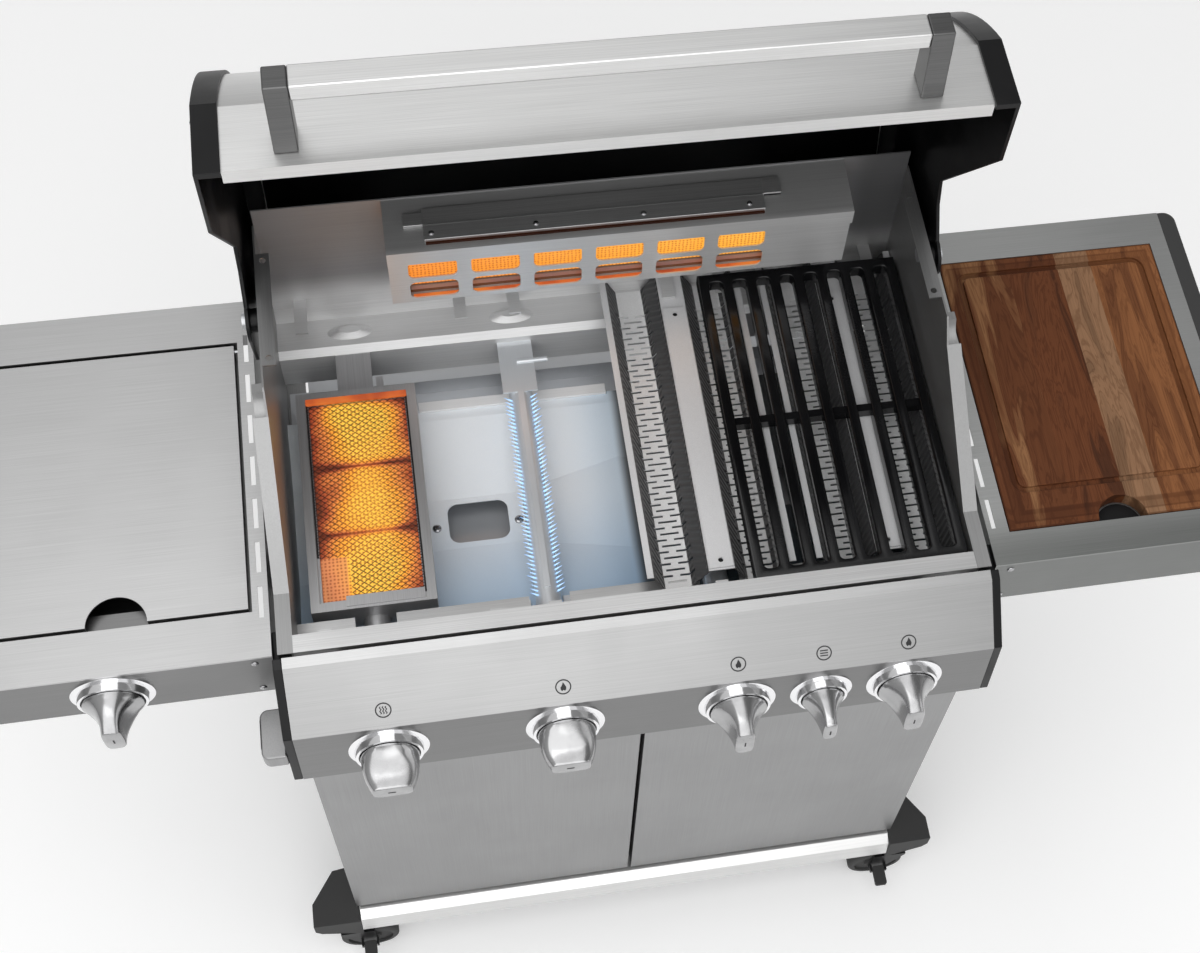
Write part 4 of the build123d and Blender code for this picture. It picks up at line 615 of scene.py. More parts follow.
@dataclass(frozen=True)
class GlowingCeramic(Finish):
    """Perforated ceramic tiles, yellow hot in the sear burner and orange in the rear burner."""

    name: str
    front: float
    pitch: float
    middle: float
    half: float
    split: float
    rear_left: float
    rear_width: float
    heat: float = 0.98
    cloud_loss: float = 1.3
    corner_loss: float = 0.42
    rim_loss: float = 0.9
    joint_loss: float = 0.8
    sear: Stops = (
        (0.0, (0.10, 0.010, 0.006)), (0.2, (0.36, 0.055, 0.02)), (0.42, (0.74, 0.22, 0.05)),
        (0.66, (1.0, 0.42, 0.04)), (0.95, (1.0, 0.60, 0.07)))
    bare: Pair = (-0.45, 0.67)
    bare_glow: Colour = (0.70, 0.27, 0.11)
    rear: Stops = ((0.0, (0.92, 0.28, 0.03)), (0.55, (1.0, 0.44, 0.05)), (1.0, (1.0, 0.52, 0.06)))
    rear_unlit: Colour = (0.012, 0.006, 0.004)
    rear_sill: float = 17 * MM
    hole: Stops = ((0.10, (0.42, 0.22, 0.16)), (0.42, (1.0, 1.0, 1.0)))
    holes_per_metre: float = 240.0

    def shade(self, graph: MaterialGraph) -> None:
        """Fills the graph of the material.

        Args:
            graph: the graph.
        """
        x, y, z = graph.axes()
        rear = graph.ramp(graph.share(x, self.rear_left, self.rear_width), self.rear)
        lit = graph.math("GREATER_THAN", z, self.split + self.rear_sill)
        rear = graph.mix(lit, self.rear_unlit, rear)
        glow = graph.mix(graph.math("GREATER_THAN", z, self.split), self._sear(graph, x, y), rear)
        face = graph.add("ShaderNodeCombineXYZ", {0: x, 1: graph.math("ADD", y, z)}).outputs[0]
        inputs = {"Vector": face, "Scale": self.holes_per_metre, "Randomness": 0.2}
        cells = graph.add("ShaderNodeTexVoronoi", inputs, voronoi_dimensions="2D").outputs["Distance"]
        graph.glow(graph.times(glow, graph.ramp(cells, self.hole)), 1.0, (0.16, 0.07, 0.03), 0.9)

    def _sear(self, graph: MaterialGraph, x: Socket, y: Socket) -> Socket:
        """Glow of the sear tiles: hot in the middle, cooler at joints, sides and front left corner.

        Args:
            graph: the graph.
            x: place to the right.
            y: place to the back.

        Returns:
            The colour socket.
        """
        along = graph.share(y, self.front, self.pitch)
        side = graph.share(x, self.middle, self.half)
        joint = graph.math("MULTIPLY", graph.math(
            "ABSOLUTE", graph.math("SUBTRACT", graph.math("FRACT", along), 0.5)), 2.0)
        cloud = graph.math("SUBTRACT", graph.noise(graph.place(), 15.0), 0.5)
        left = graph.math("MAXIMUM", graph.math("MULTIPLY", side, -1.0), 0.0)
        front = graph.math("SUBTRACT", 1.0, graph.math("MULTIPLY", along, 0.33))
        rim = graph.math("POWER", graph.math("ABSOLUTE", side), 2.2)
        heat = self.heat
        for loss, share in ((cloud, self.cloud_loss),
                            (graph.math("MULTIPLY", left, front), self.corner_loss),
                            (rim, self.rim_loss), (graph.math("POWER", joint, 12.0), self.joint_loss)):
            heat = graph.math("SUBTRACT", heat, graph.math("MULTIPLY", loss, share))
        bare = graph.math("MULTIPLY", graph.math("LESS_THAN", side, self.bare[0]),
                          graph.math("LESS_THAN", along, self.bare[1]))
        return graph.mix(graph.math("MULTIPLY", bare, 0.7), graph.ramp(heat, self.sear), self.bare_glow)


@dataclass(frozen=True)
class RedHeat(Finish):
    """Metal that glows red to orange, unevenly; on the rear burner's floor it paints the reflection of the
    glowing tiles.
    """

    name: str
    scale: float = 24.0
    stops: Stops = (
        (0.32, (0.40, 0.045, 0.012)), (0.52, (0.80, 0.15, 0.022)), (0.72, (0.95, 0.27, 0.04)))

    def shade(self, graph: MaterialGraph) -> None:
        """Fills the graph of the material."""
        cloud = graph.noise(graph.place(), self.scale, 3.0)
        graph.glow(graph.ramp(cloud, self.stops), 0.7, (0.10, 0.03, 0.02), 0.7)


@dataclass(frozen=True)
class HotScreen(Finish):
    """Black expanded metal that glows a little in the middle."""

    name: str
    middle: Point
    reach: Pair
    stops: Stops = ((0.25, (0.78, 0.28, 0.03)), (0.42, (0.36, 0.07, 0.012)), (0.58, (0.0, 0.0, 0.0)))

    def shade(self, graph: MaterialGraph) -> None:
        """Fills the graph of the material.

        Args:
            graph: the graph.
        """
        sides = [graph.math("ABSOLUTE", graph.share(value, middle, reach))
                 for value, middle, reach in zip(graph.axes(), self.middle, self.reach)]
        cloud = graph.math("SUBTRACT", graph.noise(graph.place(), 15.0), 0.5)
        level = graph.math("ADD", graph.math("MAXIMUM", *sides), cloud)
        graph.glow(graph.ramp(level, self.stops), 0.7, (0.008, 0.006, 0.006), 0.6)


@dataclass(frozen=True)
class BlueFlame(Finish):
    """Small gas flame, pale at its root and deep blue at its tip."""

    name: str
    root: float
    tall: float
    stops: Stops = ((0.0, (0.30, 0.62, 1.0)), (0.4, (0.62, 0.85, 1.0)), (1.0, (0.16, 0.44, 0.92)))

    def shade(self, graph: MaterialGraph) -> None:
        """Fills the graph of the material.

        Args:
            graph: the graph.
        """
        rise = graph.share(graph.axes()[2], self.root, self.tall)
        graph.glow(graph.ramp(rise, self.stops), 1.0, (0.1, 0.25, 0.6))
        graph.feed(alpha=graph.spread(rise, 0.95, 0.5))


@dataclass(frozen=True)
class PaleFloor(Finish):
    """Studio floor that looks near white to the camera and in metal, and keeps the shadow."""

    name: str
    colour: Colour
    white: float

    def shade(self, graph: MaterialGraph) -> None:
        """Fills the graph of the material.

        Args:
            graph: the graph.
        """
        rays = graph.add("ShaderNodeLightPath").outputs
        seen = graph.math("ADD", rays["Is Camera Ray"], graph.math(
            "ADD", rays["Is Glossy Ray"], rays["Is Transmission Ray"]))
        graph.feed(base_color=self.colour, roughness=0.9, emission_color=grey(1.0),
                   emission_strength=graph.math("MULTIPLY", seen, self.white))


def plain_finishes() -> list[Finish]:
    """Finishes that look the same wherever they are.

    Plated steel, bright chrome, black moulding and tyre rubber are the frame's own plain materials.

    Returns:
        The finishes.
    """
    along_x, along_y = Grain.ALONG_X, Grain.ALONG_Y
    return [
        BrushedSteel("hood_steel", (0.64, 0.64, 0.635), (0.88, 0.88, 0.875), along_x, (0.26, 0.40)),
        BrushedSteel("post_steel", grey(0.11), grey(0.18), along_x, (0.24, 0.36)),
        # A darker copy of the stainless for the doors, cabinet sides and bottle opener: painted shade.
        BrushedSteel("door_steel", grey(0.27), (0.37, 0.37, 0.375), Grain.ALONG_Z, (0.34, 0.46)),
        BrushedSteel("firebox_steel", grey(0.46), grey(0.72), along_x, (0.24, 0.38), 0.85),
        # A darker copy of the firebox steel for the side walls: painted shade.
        BrushedSteel("side_wall_steel", grey(0.30), grey(0.42), along_y, (0.36, 0.48), 0.9),
        BrushedSteel("burner_steel", (0.42, 0.42, 0.425), (0.60, 0.60, 0.61), along_y, (0.28, 0.42), 0.7),
        BrushedSteel("tube_steel", (0.76, 0.79, 0.82), (0.80, 0.83, 0.86), along_y, (0.26, 0.32), 0.45,
                     0.001 * MM),
        BrushedSteel("flange_steel", grey(0.84), grey(0.96), along_x, (0.3, 0.44), 0.1),
        PolishedMetal("satin_knob", (0.44, 0.44, 0.445), (0.18, 0.28)),
        PolishedMetal("screw_steel", (0.45, 0.45, 0.46), (0.2, 0.34)),
        # Dark brown for the strip in the gap before the rear channel: painted shadow.
        PolishedMetal("heat_tint", (0.07, 0.024, 0.014), (0.3, 0.44)),
        PolishedMetal("brass", (0.66, 0.49, 0.22), (0.24, 0.4)),
        GrainedBlack("cap_paint", (0.005, 0.005, 0.0055), (0.3, 0.44), 900.0, 0.05 * MM, specular=0.25),
        GrainedBlack("lining_enamel", (0.005, 0.005, 0.0055), (0.4, 0.56), 500.0, 0.04 * MM, specular=0.25),
        GrainedBlack("iron_enamel", (0.004, 0.004, 0.0045), (0.16, 0.28), 420.0, 0.06 * MM, 0.15, 0.3),
        RedHeat("red_heat"),
        PrintedInk("panel_ink", (0.012, 0.012, 0.013)),
        PaleFloor("pale_floor", grey(0.88), 0.2)]


def placed_finishes() -> list[Finish]:
    """Finishes whose pattern follows the places of the pieces.

    Returns:
        The finishes.
    """
    screen_low, screen_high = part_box("sear_burner_screen")
    middle, half = (screen_low + screen_high) / 2, (screen_high - screen_low) / 2
    tiles = 3
    house_low, house_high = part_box("rear_burner_housing")
    tamer_low, tamer_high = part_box("flame_tamers")
    board_low, board_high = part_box("cutting_board")
    funnel_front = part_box("drip_funnel")[0].y
    flame_root, flame_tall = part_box("tube_burners")[0].z + Firebox.flame_level, 9 * MM
    panel_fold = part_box("control_panel")[1].z - 58.5 * MM
    table_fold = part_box("right_table")[1].z - 2.5 * MM
    fold = 1 * MM
    along_x = Grain.ALONG_X
    return [
        # Panel: the lower face below the bend is darker, painted shade.
        BrushedSteel("panel_steel", grey(0.36), grey(0.48), along_x, (0.26, 0.38),
                     fades=(Fade(2, panel_fold, panel_fold - fold, grey(0.5)),)),
        # Below the table top's edge the steel is darker: painted shade on the front face.
        BrushedSteel("table_steel", grey(0.44), grey(0.58), along_x, (0.30, 0.42),
                     fades=(Fade(2, table_fold, table_fold - fold, grey(0.4)),)),
        # Right table: darker on its front face and towards the front, ahead of the board: painted shade.
        BrushedSteel("right_table_steel", (0.40, 0.405, 0.40), (0.54, 0.545, 0.54), along_x, (0.30, 0.42),
                     fades=(Fade(2, table_fold, table_fold - fold, grey(0.7)),
                            Fade(1, board_low.y + 30 * MM, board_low.y - 30 * MM, (0.56, 0.57, 0.56)))),
        # Funnel: darker and bluer towards the front and towards the tamers, and dark under the tamers:
        # painted shade.
        BrushedSteel("funnel_steel", (0.88, 0.92, 0.96), (0.95, 0.98, 1.0), Grain.SATIN, (0.4, 0.54), 0.05,
                     fades=(Fade(1, 30 * MM, funnel_front, (0.58, 0.72, 0.86)),
                            Fade(0, -60 * MM, 10 * MM, (0.80, 0.88, 0.95)),
                            Fade(0, 8 * MM, 22 * MM, (0.14, 0.13, 0.12)))),
        # Rear wall: darker above the tamers and to the right of the rear burner: painted shade.
        BrushedSteel("rear_steel", grey(0.64), grey(0.84), along_x, (0.36, 0.5), 0.5,
                     fades=(Fade(2, tamer_high.z, tamer_high.z + 50 * MM, (0.44, 0.44, 0.45)),
                            Fade(0, house_high.x - 10 * MM, house_high.x + 40 * MM, grey(0.5)))),
        # Rear burner housing: its roof darker than its face, a painted dark reflection.
        BrushedSteel("housing_steel", grey(0.60), grey(0.80), along_x, (0.34, 0.46), 0.55,
                     fades=(Fade(2, house_high.z - 9 * MM, house_high.z - 7 * MM, grey(0.52)),)),
        # Tamers: ridge tops a little darker than the flats, painted shade; the slopes carry the painted
        # dark reflection.
        EmbossedSteel("tamer_steel", grey(0.78), grey(0.96), Grain.SATIN, (0.3, 0.44), 0.12,
                      fades=(Fade(2, tamer_high.z - 3 * MM, tamer_high.z - 2 * MM, (0.80, 0.80, 0.81)),),
                      slope=(tamer_low.z + 3 * MM, tamer_high.z - 3.2 * MM)),
        PlankedWood("board_wood", tuple(board_low), tuple(board_high)),
        GlowingCeramic("glowing_ceramic", screen_low.y, half.y * 2 / tiles, middle.x, half.x, house_low.z,
                       house_low.x, house_high.x - house_low.x),
        HotScreen("hot_screen", tuple(middle), (half.x, half.y)),
        BlueFlame("blue_flame", flame_root, flame_tall)]


class Blank:
    """Mesh in the making, to which plain shapes are added."""

    def __init__(self, source: Mesh | None = None) -> None:
        """Starts empty or from a copy of a mesh.

        Args:
            source: mesh to copy.
        """
        self.shape = bmesh.new()
        if source:
            self.shape.from_mesh(source)

    def slab(self, low: Point, high: Point, at: Sequence[float] = (0.0, 0.0, 0.0)) -> None:
        """Adds a box.

        Args:
            low: its lowest corner.
            high: its highest corner.
            at: point that both corners are measured from.
        """
        middle = [(a + b) / 2 + start for a, b, start in zip(low, high, at)]
        size = [b - a for a, b in zip(low, high)]
        matrix = Matrix.Translation(middle) @ Matrix.Diagonal((*size, 1.0))
        bmesh.ops.create_cube(self.shape, size=1.0, matrix=matrix)

    def ribbon(self, rows: Sequence[Sequence[Vector]], closed: bool = False) -> None:
        """Adds faces between rows of points.

        Args:
            rows: rows with as many points each.
            closed: whether each row closes on itself.
        """
        made = [[self.shape.verts.new(point) for point in row] for row in rows]
        count = len(rows[0])
        for first, second in zip(made, made[1:]):
            for index in range(count if closed else count - 1):
                after = (index + 1) % count
                self.shape.faces.new((first[index], first[after], second[after], second[index]))

    def plate(self, outline: Sequence[Vector], out: Vector, thickness: float) -> None:
        """Adds a thin plate with any outline.

        Args:
            outline: corners in one plane.
            out: direction in which it stands out.
            thickness: thickness of the plate.
        """
        low = [self.shape.verts.new(point) for point in outline]
        high = [self.shape.verts.new(point + out * thickness) for point in outline]
        self.shape.faces.new(list(reversed(low)))
        self.shape.faces.new(high)
        for index in range(len(outline)):
            after = (index + 1) % len(outline)
            self.shape.faces.new((low[index], low[after], high[after], high[index]))

    def ring(self, centre: Vector, axes: Sequence[Vector], radii: Pair, thickness: float,
             steps: int = 40) -> None:
        """Adds a flat ring.

        Args:
            centre: centre of the ring on its surface.
            axes: two axes in its plane and the one out of it.
            radii: inner and outer radius.
            thickness: how far it stands out.
            steps: facets round the ring.
        """
        across, up, out = axes
        rows = []
        for step in range(steps):
            angle = math.radians(360.0 * step / steps)
            ray = across * math.cos(angle) + up * math.sin(angle)
            inner, outer = (centre + ray * radius for radius in radii)
            rows.append([inner, outer, outer + out * thickness, inner + out * thickness])
        self.ribbon([*rows, rows[0]], closed=True)
        self.merge(0.001 * MM)

    def merge(self, distance: float) -> None:
        """Merges points that lie closer than a distance."""
        bmesh.ops.remove_doubles(self.shape, verts=self.shape.verts[:], dist=distance)

    def move(self, by: Vector) -> None:
        """Moves all points."""
        bmesh.ops.translate(self.shape, verts=self.shape.verts[:], vec=by)

    def plain(self, name: str) -> Mesh:
        """Ends as a mesh with its faces as they are.

        Args:
            name: name of the mesh.

        Returns:
            The mesh.
        """
        made = bpy.data.meshes.new(name)
        self.shape.to_mesh(made)
        self.shape.free()
        return made

    def mesh(self, name: str, smooth_angle: float = 40.0) -> Mesh:
        """Ends as a smooth mesh with faces that point outwards.

        Args:
            name: name of the mesh.
            smooth_angle: edges sharper than this stay sharp, in degrees.

        Returns:
            The mesh.
        """
        bmesh.ops.recalc_face_normals(self.shape, faces=self.shape.faces[:])
        made = self.plain(name)
        made.shade_smooth()
        made.set_sharp_from_angle(angle=math.radians(smooth_angle))
        return made


def baked(mesh: Mesh, modify: Callable[[Object], None]) -> Mesh:
    """Applies modifiers to a mesh.

    Args:
        mesh: starting mesh.
        modify: function that adds the modifiers to an object.

    Returns:
        A plain mesh with the modifiers applied.
    """
    holder = bpy.data.objects.new(mesh.name + "_holder", mesh)
    bpy.context.scene.collection.objects.link(holder)
    modify(holder)
    graph = bpy.context.evaluated_depsgraph_get()
    made = bpy.data.meshes.new_from_object(holder.evaluated_get(graph))
    holder.modifiers.clear()
    bpy.data.objects.remove(holder)
    return made


def walled(mesh: Mesh, thickness: float) -> Mesh:
    """Gives a sheet a wall.

    Args:
        mesh: sheet without thickness.
        thickness: thickness of the wall.

    Returns:
        The closed sheet.
    """
    def modify(holder: Object) -> None:
        """Adds the wall on both sides of the sheet.

        Args:
            holder: object that holds the sheet.
        """
        wall = holder.modifiers.new("wall", "SOLIDIFY")
        wall.thickness = thickness
        wall.offset = 0.0

    return baked(mesh, modify)


def rounded(mesh: Mesh, width: float, segments: int = 2, limit: float = 34.0) -> Mesh:
    """Rounds the edges of a mesh.

    Args:
        mesh: starting mesh.
        width: width of the rounding.
        segments: facets of the rounding.
        limit: smallest angle of an edge that is rounded, in degrees.

    Returns:
        The rounded mesh.
    """
    def modify(holder: Object) -> None:
        """Adds the rounding to edges past the limit.

        Args:
            holder: object that holds the mesh.
        """
        bevel = holder.modifiers.new("round", "BEVEL")
        bevel.width = width
        bevel.segments = segments
        bevel.limit_method = "ANGLE"
        bevel.angle_limit = math.radians(limit)
        bevel.harden_normals = True

    mesh.shade_smooth()
    mesh.set_sharp_from_angle(angle=math.radians(limit))
    return baked(mesh, modify)


class NodesTree(NodeGraph):
    """Base of the Geometry Nodes trees: named inputs in, one plain mesh out."""

    def __init__(self, name: str, numbers: dict[str, float]) -> None:
        """Starts the tree.

        Args:
            name: name of the tree.
            numbers: its number inputs with their defaults.
        """
        super().__init__(bpy.data.node_groups.new(name, "GeometryNodeTree"))
        self._socket("Source", "NodeSocketGeometry")
        for label, value in numbers.items():
            kind = "NodeSocketInt" if isinstance(value, int) else "NodeSocketFloat"
            self._socket(label, kind).default_value = value
        self._socket("Finish", "NodeSocketMaterial")
        self._socket("Result", "NodeSocketGeometry", "OUTPUT")
        self.given = self.add("NodeGroupInput").outputs

    def _socket(self, name: str, kind: str, way: str = "INPUT") -> bpy.types.NodeTreeInterfaceSocket:
        """Adds a socket to the tree's interface."""
        return self.tree.interface.new_socket(name=name, in_out=way, socket_type=kind)

    def close(self, shape: Socket) -> None:
        """Ends the tree in real geometry with its finish.

        Args:
            shape: geometry to end in.
        """
        real = self.add("GeometryNodeRealizeInstances", {0: shape}).outputs[0]
        dressed = self.add("GeometryNodeSetMaterial", {"Geometry": real, "Material": self.given["Finish"]})
        self.add("NodeGroupOutput", {0: dressed.outputs[0]})

    def run(self, name: str, source: Mesh, finish: bpy.types.Material, **values: float) -> Mesh:
        """Runs the tree on a mesh.

        Args:
            name: name of the result.
            source: mesh that goes in.
            finish: material of the result.
            values: number inputs, each named as a plain key.

        Returns:
            The result as a plain mesh.
        """
        given = {**values, "finish": finish}

        def modify(holder: Object) -> None:
            """Adds the tree with its inputs.

            Args:
                holder: object that holds the source.
            """
            modifier = holder.modifiers.new("tree", "NODES")
            modifier.node_group = self.tree
            for item in self.tree.interface.items_tree:
                key = plain_key(item.name)
                if item.in_out == "INPUT" and key in given:
                    modifier[item.identifier] = given[key]

        made = baked(source, modify)
        made.name = name
        return made


class ScatterTree(NodesTree):
    """Tree that sets a small part on every point of a mesh, turned to face outwards."""

    seed: int = 7
    flame: Cones = (6, (((1.0, 0.1), (0.0, 1.0)),))
    screw: Cones = (
        16, (((1.0, 0.86), (0.0, 0.55)), ((0.86, 0.55), (0.55, 0.9)), ((0.42, 0.34), (0.9, 1.15))))

    def __init__(self, stud: Stud) -> None:
        """Builds the tree.

        Args:
            stud: the part to repeat.
        """
        super().__init__(f"scatter_{stud.value}", {"Radius": 0.003, "Height": 0.001, "Unevenness": 0.0})
        facing = self.add("GeometryNodeInputNamedAttribute", {"Name": "facing"}, data_type="FLOAT_VECTOR")
        turn = self.add("FunctionNodeAlignRotationToVector", {"Vector": facing.outputs[0]}, axis="Z")
        chance = self.add("FunctionNodeRandomValue", {"Seed": self.seed})
        grow = self.math("MULTIPLY_ADD", chance.outputs[1], self.given["Unevenness"], 1.0)
        sides, cones = self.flame if stud is Stud.FLAME else self.screw
        part = self.add("GeometryNodeJoinGeometry")
        for shares, heights in cones:
            self.put(self._cone(sides, shares, heights), part.inputs[0])
        placed = self.add("GeometryNodeInstanceOnPoints", {
            "Points": self.given["Source"], "Instance": part.outputs[0],
            "Rotation": turn.outputs[0], "Scale": grow})
        self.close(placed.outputs[0])

    def _cone(self, sides: int, shares: Pair, heights: Pair) -> Socket:
        """Adds a cone.

        Args:
            sides: number of its sides.
            shares: bottom and top radius as shares of the Radius input.
            heights: its bottom and top as shares of the Height input.

        Returns:
            Its geometry socket.
        """
        radius, height = self.given["Radius"], self.given["Height"]
        cone = self.add("GeometryNodeMeshCone", {
            "Vertices": sides, "Depth": self.math("MULTIPLY", height, heights[1] - heights[0]),
            "Radius Bottom": self.math("MULTIPLY", radius, shares[0]),
            "Radius Top": self.math("MULTIPLY", radius, shares[1])})
        lift = self.add("ShaderNodeCombineXYZ", {2: self.math("MULTIPLY", height, heights[0])})
        inputs = {"Geometry": cone.outputs["Mesh"], "Translation": lift.outputs[0]}
        return self.add("GeometryNodeTransform", inputs).outputs[0]

    def scatter(self, name: str, spots: Iterable[Spot], radius: float, height: float,
                finish: bpy.types.Material, uneven: float = 0.0) -> Mesh:
        """Makes a plain mesh with the part at every spot.

        Args:
            name: name of the mesh.
            spots: places with the directions that the parts face.
            radius: radius of the part.
            height: height of the part.
            finish: material of the part.
            uneven: largest growth of a part's size, as a share.

        Returns:
            The realized mesh.
        """
        places, ways = zip(*spots)
        mesh = bpy.data.meshes.new(name)
        mesh.from_pydata(places, [], [])
        facing = mesh.attributes.new("facing", "FLOAT_VECTOR", "POINT")
        for entry, way in zip(facing.data, ways):
            entry.vector = way
        return self.run(name, mesh, finish, radius=radius, height=height, unevenness=uneven)


class GridTree(NodesTree):
    """Tree that lays equal cells side by side in columns and rows."""

    def __init__(self, name: str, numbers: dict[str, float] | None = None) -> None:
        """Builds the tree.

        Args:
            name: name of the tree.
            numbers: further number inputs.
        """
        shared = {"Columns": 8, "Rows": 2, "Pitch X": 0.03, "Pitch Y": 0.2}
        super().__init__(name, {**shared, **(numbers or {})})
        inputs = {}
        for axis, count in (("X", self.given["Columns"]), ("Y", self.given["Rows"])):
            spaces = self.math("SUBTRACT", count, 1.0)
            inputs[f"Size {axis}"] = self.math("MULTIPLY", spaces, self.given[f"Pitch {axis}"])
            inputs[f"Vertices {axis}"] = count
        points = self.kept(self.add("GeometryNodeMeshGrid", inputs).outputs[0])
        placed = self.add("GeometryNodeInstanceOnPoints", {"Points": points, "Instance": self.cell()})
        self.close(placed.outputs[0])

    def kept(self, points: Socket) -> Socket:
        """Points that carry a cell: all of them."""
        return points

    def cell(self) -> Socket:
        """The cell: the mesh that the tree runs on."""
        return self.given["Source"]


class ScreenTree(GridTree):
    """Expanded metal: diamonds of thin strand, with a notch cut out of the front left corner."""

    def __init__(self) -> None:
        """Builds the tree with its named inputs."""
        super().__init__("expanded_metal", {"Strand": 0.0006, "Notch X": 0.0, "Notch Y": 0.0})

    def kept(self, points: Socket) -> Socket:
        """Leaves out the points in the notch.

        Args:
            points: all points.

        Returns:
            The points outside it.
        """
        position = self.add("GeometryNodeInputPosition").outputs[0]
        where = self.add("ShaderNodeSeparateXYZ", {0: position}).outputs
        tests = [self.math("LESS_THAN", where[axis], self.given[f"Notch {axis}"]) for axis in "XY"]
        inputs = {"Geometry": points, "Selection": self.math("MULTIPLY", *tests)}
        return self.add("GeometryNodeDeleteGeometry", inputs).outputs[0]

    def cell(self) -> Socket:
        """Adds one diamond of strand.

        Returns:
            Its geometry socket.
        """
        half = self.math("MULTIPLY", self.given["Pitch Y"], 0.5)
        sizes = {"Width": self.given["Pitch X"], "Bottom Height": half, "Top Height": half}
        kite = self.add("GeometryNodeCurvePrimitiveQuadrilateral", sizes, mode="KITE").outputs[0]
        sizes = {"Resolution": 4, "Radius": self.given["Strand"]}
        section = self.add("GeometryNodeCurvePrimitiveCircle", sizes).outputs[0]
        inputs = {"Curve": kite, "Profile Curve": section}
        return self.add("GeometryNodeCurveToMesh", inputs).outputs[0]


@dataclass(frozen=True)
class Paint:
    """CAD nodes that keep their mesh and get a finish; * stands for any end of a name."""

    finish: str
    nodes: tuple[str, ...]


@dataclass(frozen=True)
class Rounding:
    """CAD node that a copy with rounded edges replaces."""

    node: str
    width: float
    finish: str
    body: str = "base"
    segments: int = 2


class Workshop:
    """Puts finished meshes on the grill."""

    def __init__(self, frame: dict, finishes: Iterable[Finish]) -> None:
        """Makes the materials, beside the frame's own plain ones, and the screw tree.

        Args:
            finishes: every finish that isn't a plain material of the frame.
        """
        effects = SharedEffects()
        self.nodes: dict[str, Object] = frame["nodes"]
        self.slots = {part["node"]: part["material_slot"] for part in frame["record"]["subparts"]}
        self.materials = dict(bpy.data.materials.items())
        self.materials.update((finish.name, finish.material(effects)) for finish in finishes)
        self.screws = ScatterTree(Stud.SCREW)

    def paint(self, job: Paint) -> None:
        """Gives CAD nodes their finish.

        Args:
            job: the nodes and the finish.
        """
        for pattern in job.nodes:
            for node in fnmatch.filter(self.nodes, pattern):
                materials = self.nodes[node].data.materials
                materials.clear()
                materials.append(self.materials[job.finish])

    def piece(self, name: str, mesh: Mesh, finish: str, like: str, body: str = "base") -> Object:
        """Links a mesh as a piece that rides on a body.

        Args:
            name: name of the piece.
            mesh: finished mesh, in place.
            finish: name of its finish.
            like: not used.
            body: body that it rides on.

        Returns:
            The new object.
        """
        mesh.materials.clear()
        mesh.materials.append(self.materials[finish])
        thing = bpy.data.objects.new(name, mesh)
        bpy.context.scene.collection.objects.link(thing)
        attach(thing, body)
        LOG.info("%s: %d faces on %s", name, len(mesh.polygons), body)
        return thing

    def stand_in(self, name: str, mesh: Mesh, finish: str, node: str, body: str = "base") -> None:
        """Links a mesh as a piece that replaces a CAD node."""
        thing = self.piece(name, mesh, finish, node, body)
        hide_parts(node)

    def soften(self, job: Rounding) -> None:
        """Replaces a CAD node by a copy whose edges are rounded.

        Args:
            job: the node, its rounding and its finish.
        """
        name = job.node + "_rounded"
        blank = Blank(self.nodes[job.node].data)
        blank.merge(0.01 * MM)
        bmesh.ops.dissolve_limit(blank.shape, angle_limit=math.radians(2.0), verts=blank.shape.verts[:],
                                 edges=blank.shape.edges[:])
        mesh = rounded(blank.plain(name), job.width, job.segments)
        self.stand_in(name, mesh, job.finish, job.node, job.body)

    def studs(self, name: str, spots: Iterable[Spot], size: Pair, body: str = "base",
              finish: str = "screw_steel", like: str = "hinge_pins") -> None:
        """Adds a set of screw heads as one piece.

        Args:
            name: name of the piece.
            spots: places of the heads with the directions that they face.
            size: radius and height of a head.
            body: body that they ride on.
            finish: name of their finish.
            like: not used.
        """
        mesh = self.screws.scatter(name, spots, *size, self.materials[finish])
        self.piece(name, mesh, finish, like, body)


@dataclass
class SubAssembly:
    """Group of pieces that are dressed together."""

    shop: Workshop
    paints: tuple[Paint, ...] = ()
    roundings: tuple[Rounding, ...] = ()

    def dress(self) -> None:
        """Paints and rounds the CAD nodes and adds the fine pieces."""
        for paint in self.paints:
            self.shop.paint(paint)
        for rounding in self.roundings:
            self.shop.soften(rounding)
        self.trim()

    def trim(self) -> None:
        """Adds the fine pieces, if there are any."""


@dataclass
class Cart(SubAssembly):
    """Cabinet, doors, feet and casters."""

    paints: tuple[Paint, ...] = (
        Paint("door_steel", ("cabinet_right_panel", "cabinet_left_panel")),
        Paint("lining_enamel", ("cabinet_floor", "cabinet_back", "caster_fork_*")),
        Paint("tyre_rubber", ("caster_wheel_*",)))
    roundings: tuple[Rounding, ...] = (
        Rounding("door_right", 1.0 * MM, "door_steel", "door_right"),
        Rounding("door_left", 1.0 * MM, "door_steel", "door_left"),
        Rounding("front_rail", 0.8 * MM, "hood_steel"),
        Rounding("corner_feet", 3.0 * MM, "black_moulding", segments=3),
        Rounding("brake_pedal_front_right", 1.2 * MM, "black_moulding", "brake_pedal_front_right"),
        Rounding("brake_pedal_front_left", 1.2 * MM, "black_moulding", "brake_pedal_front_left"))


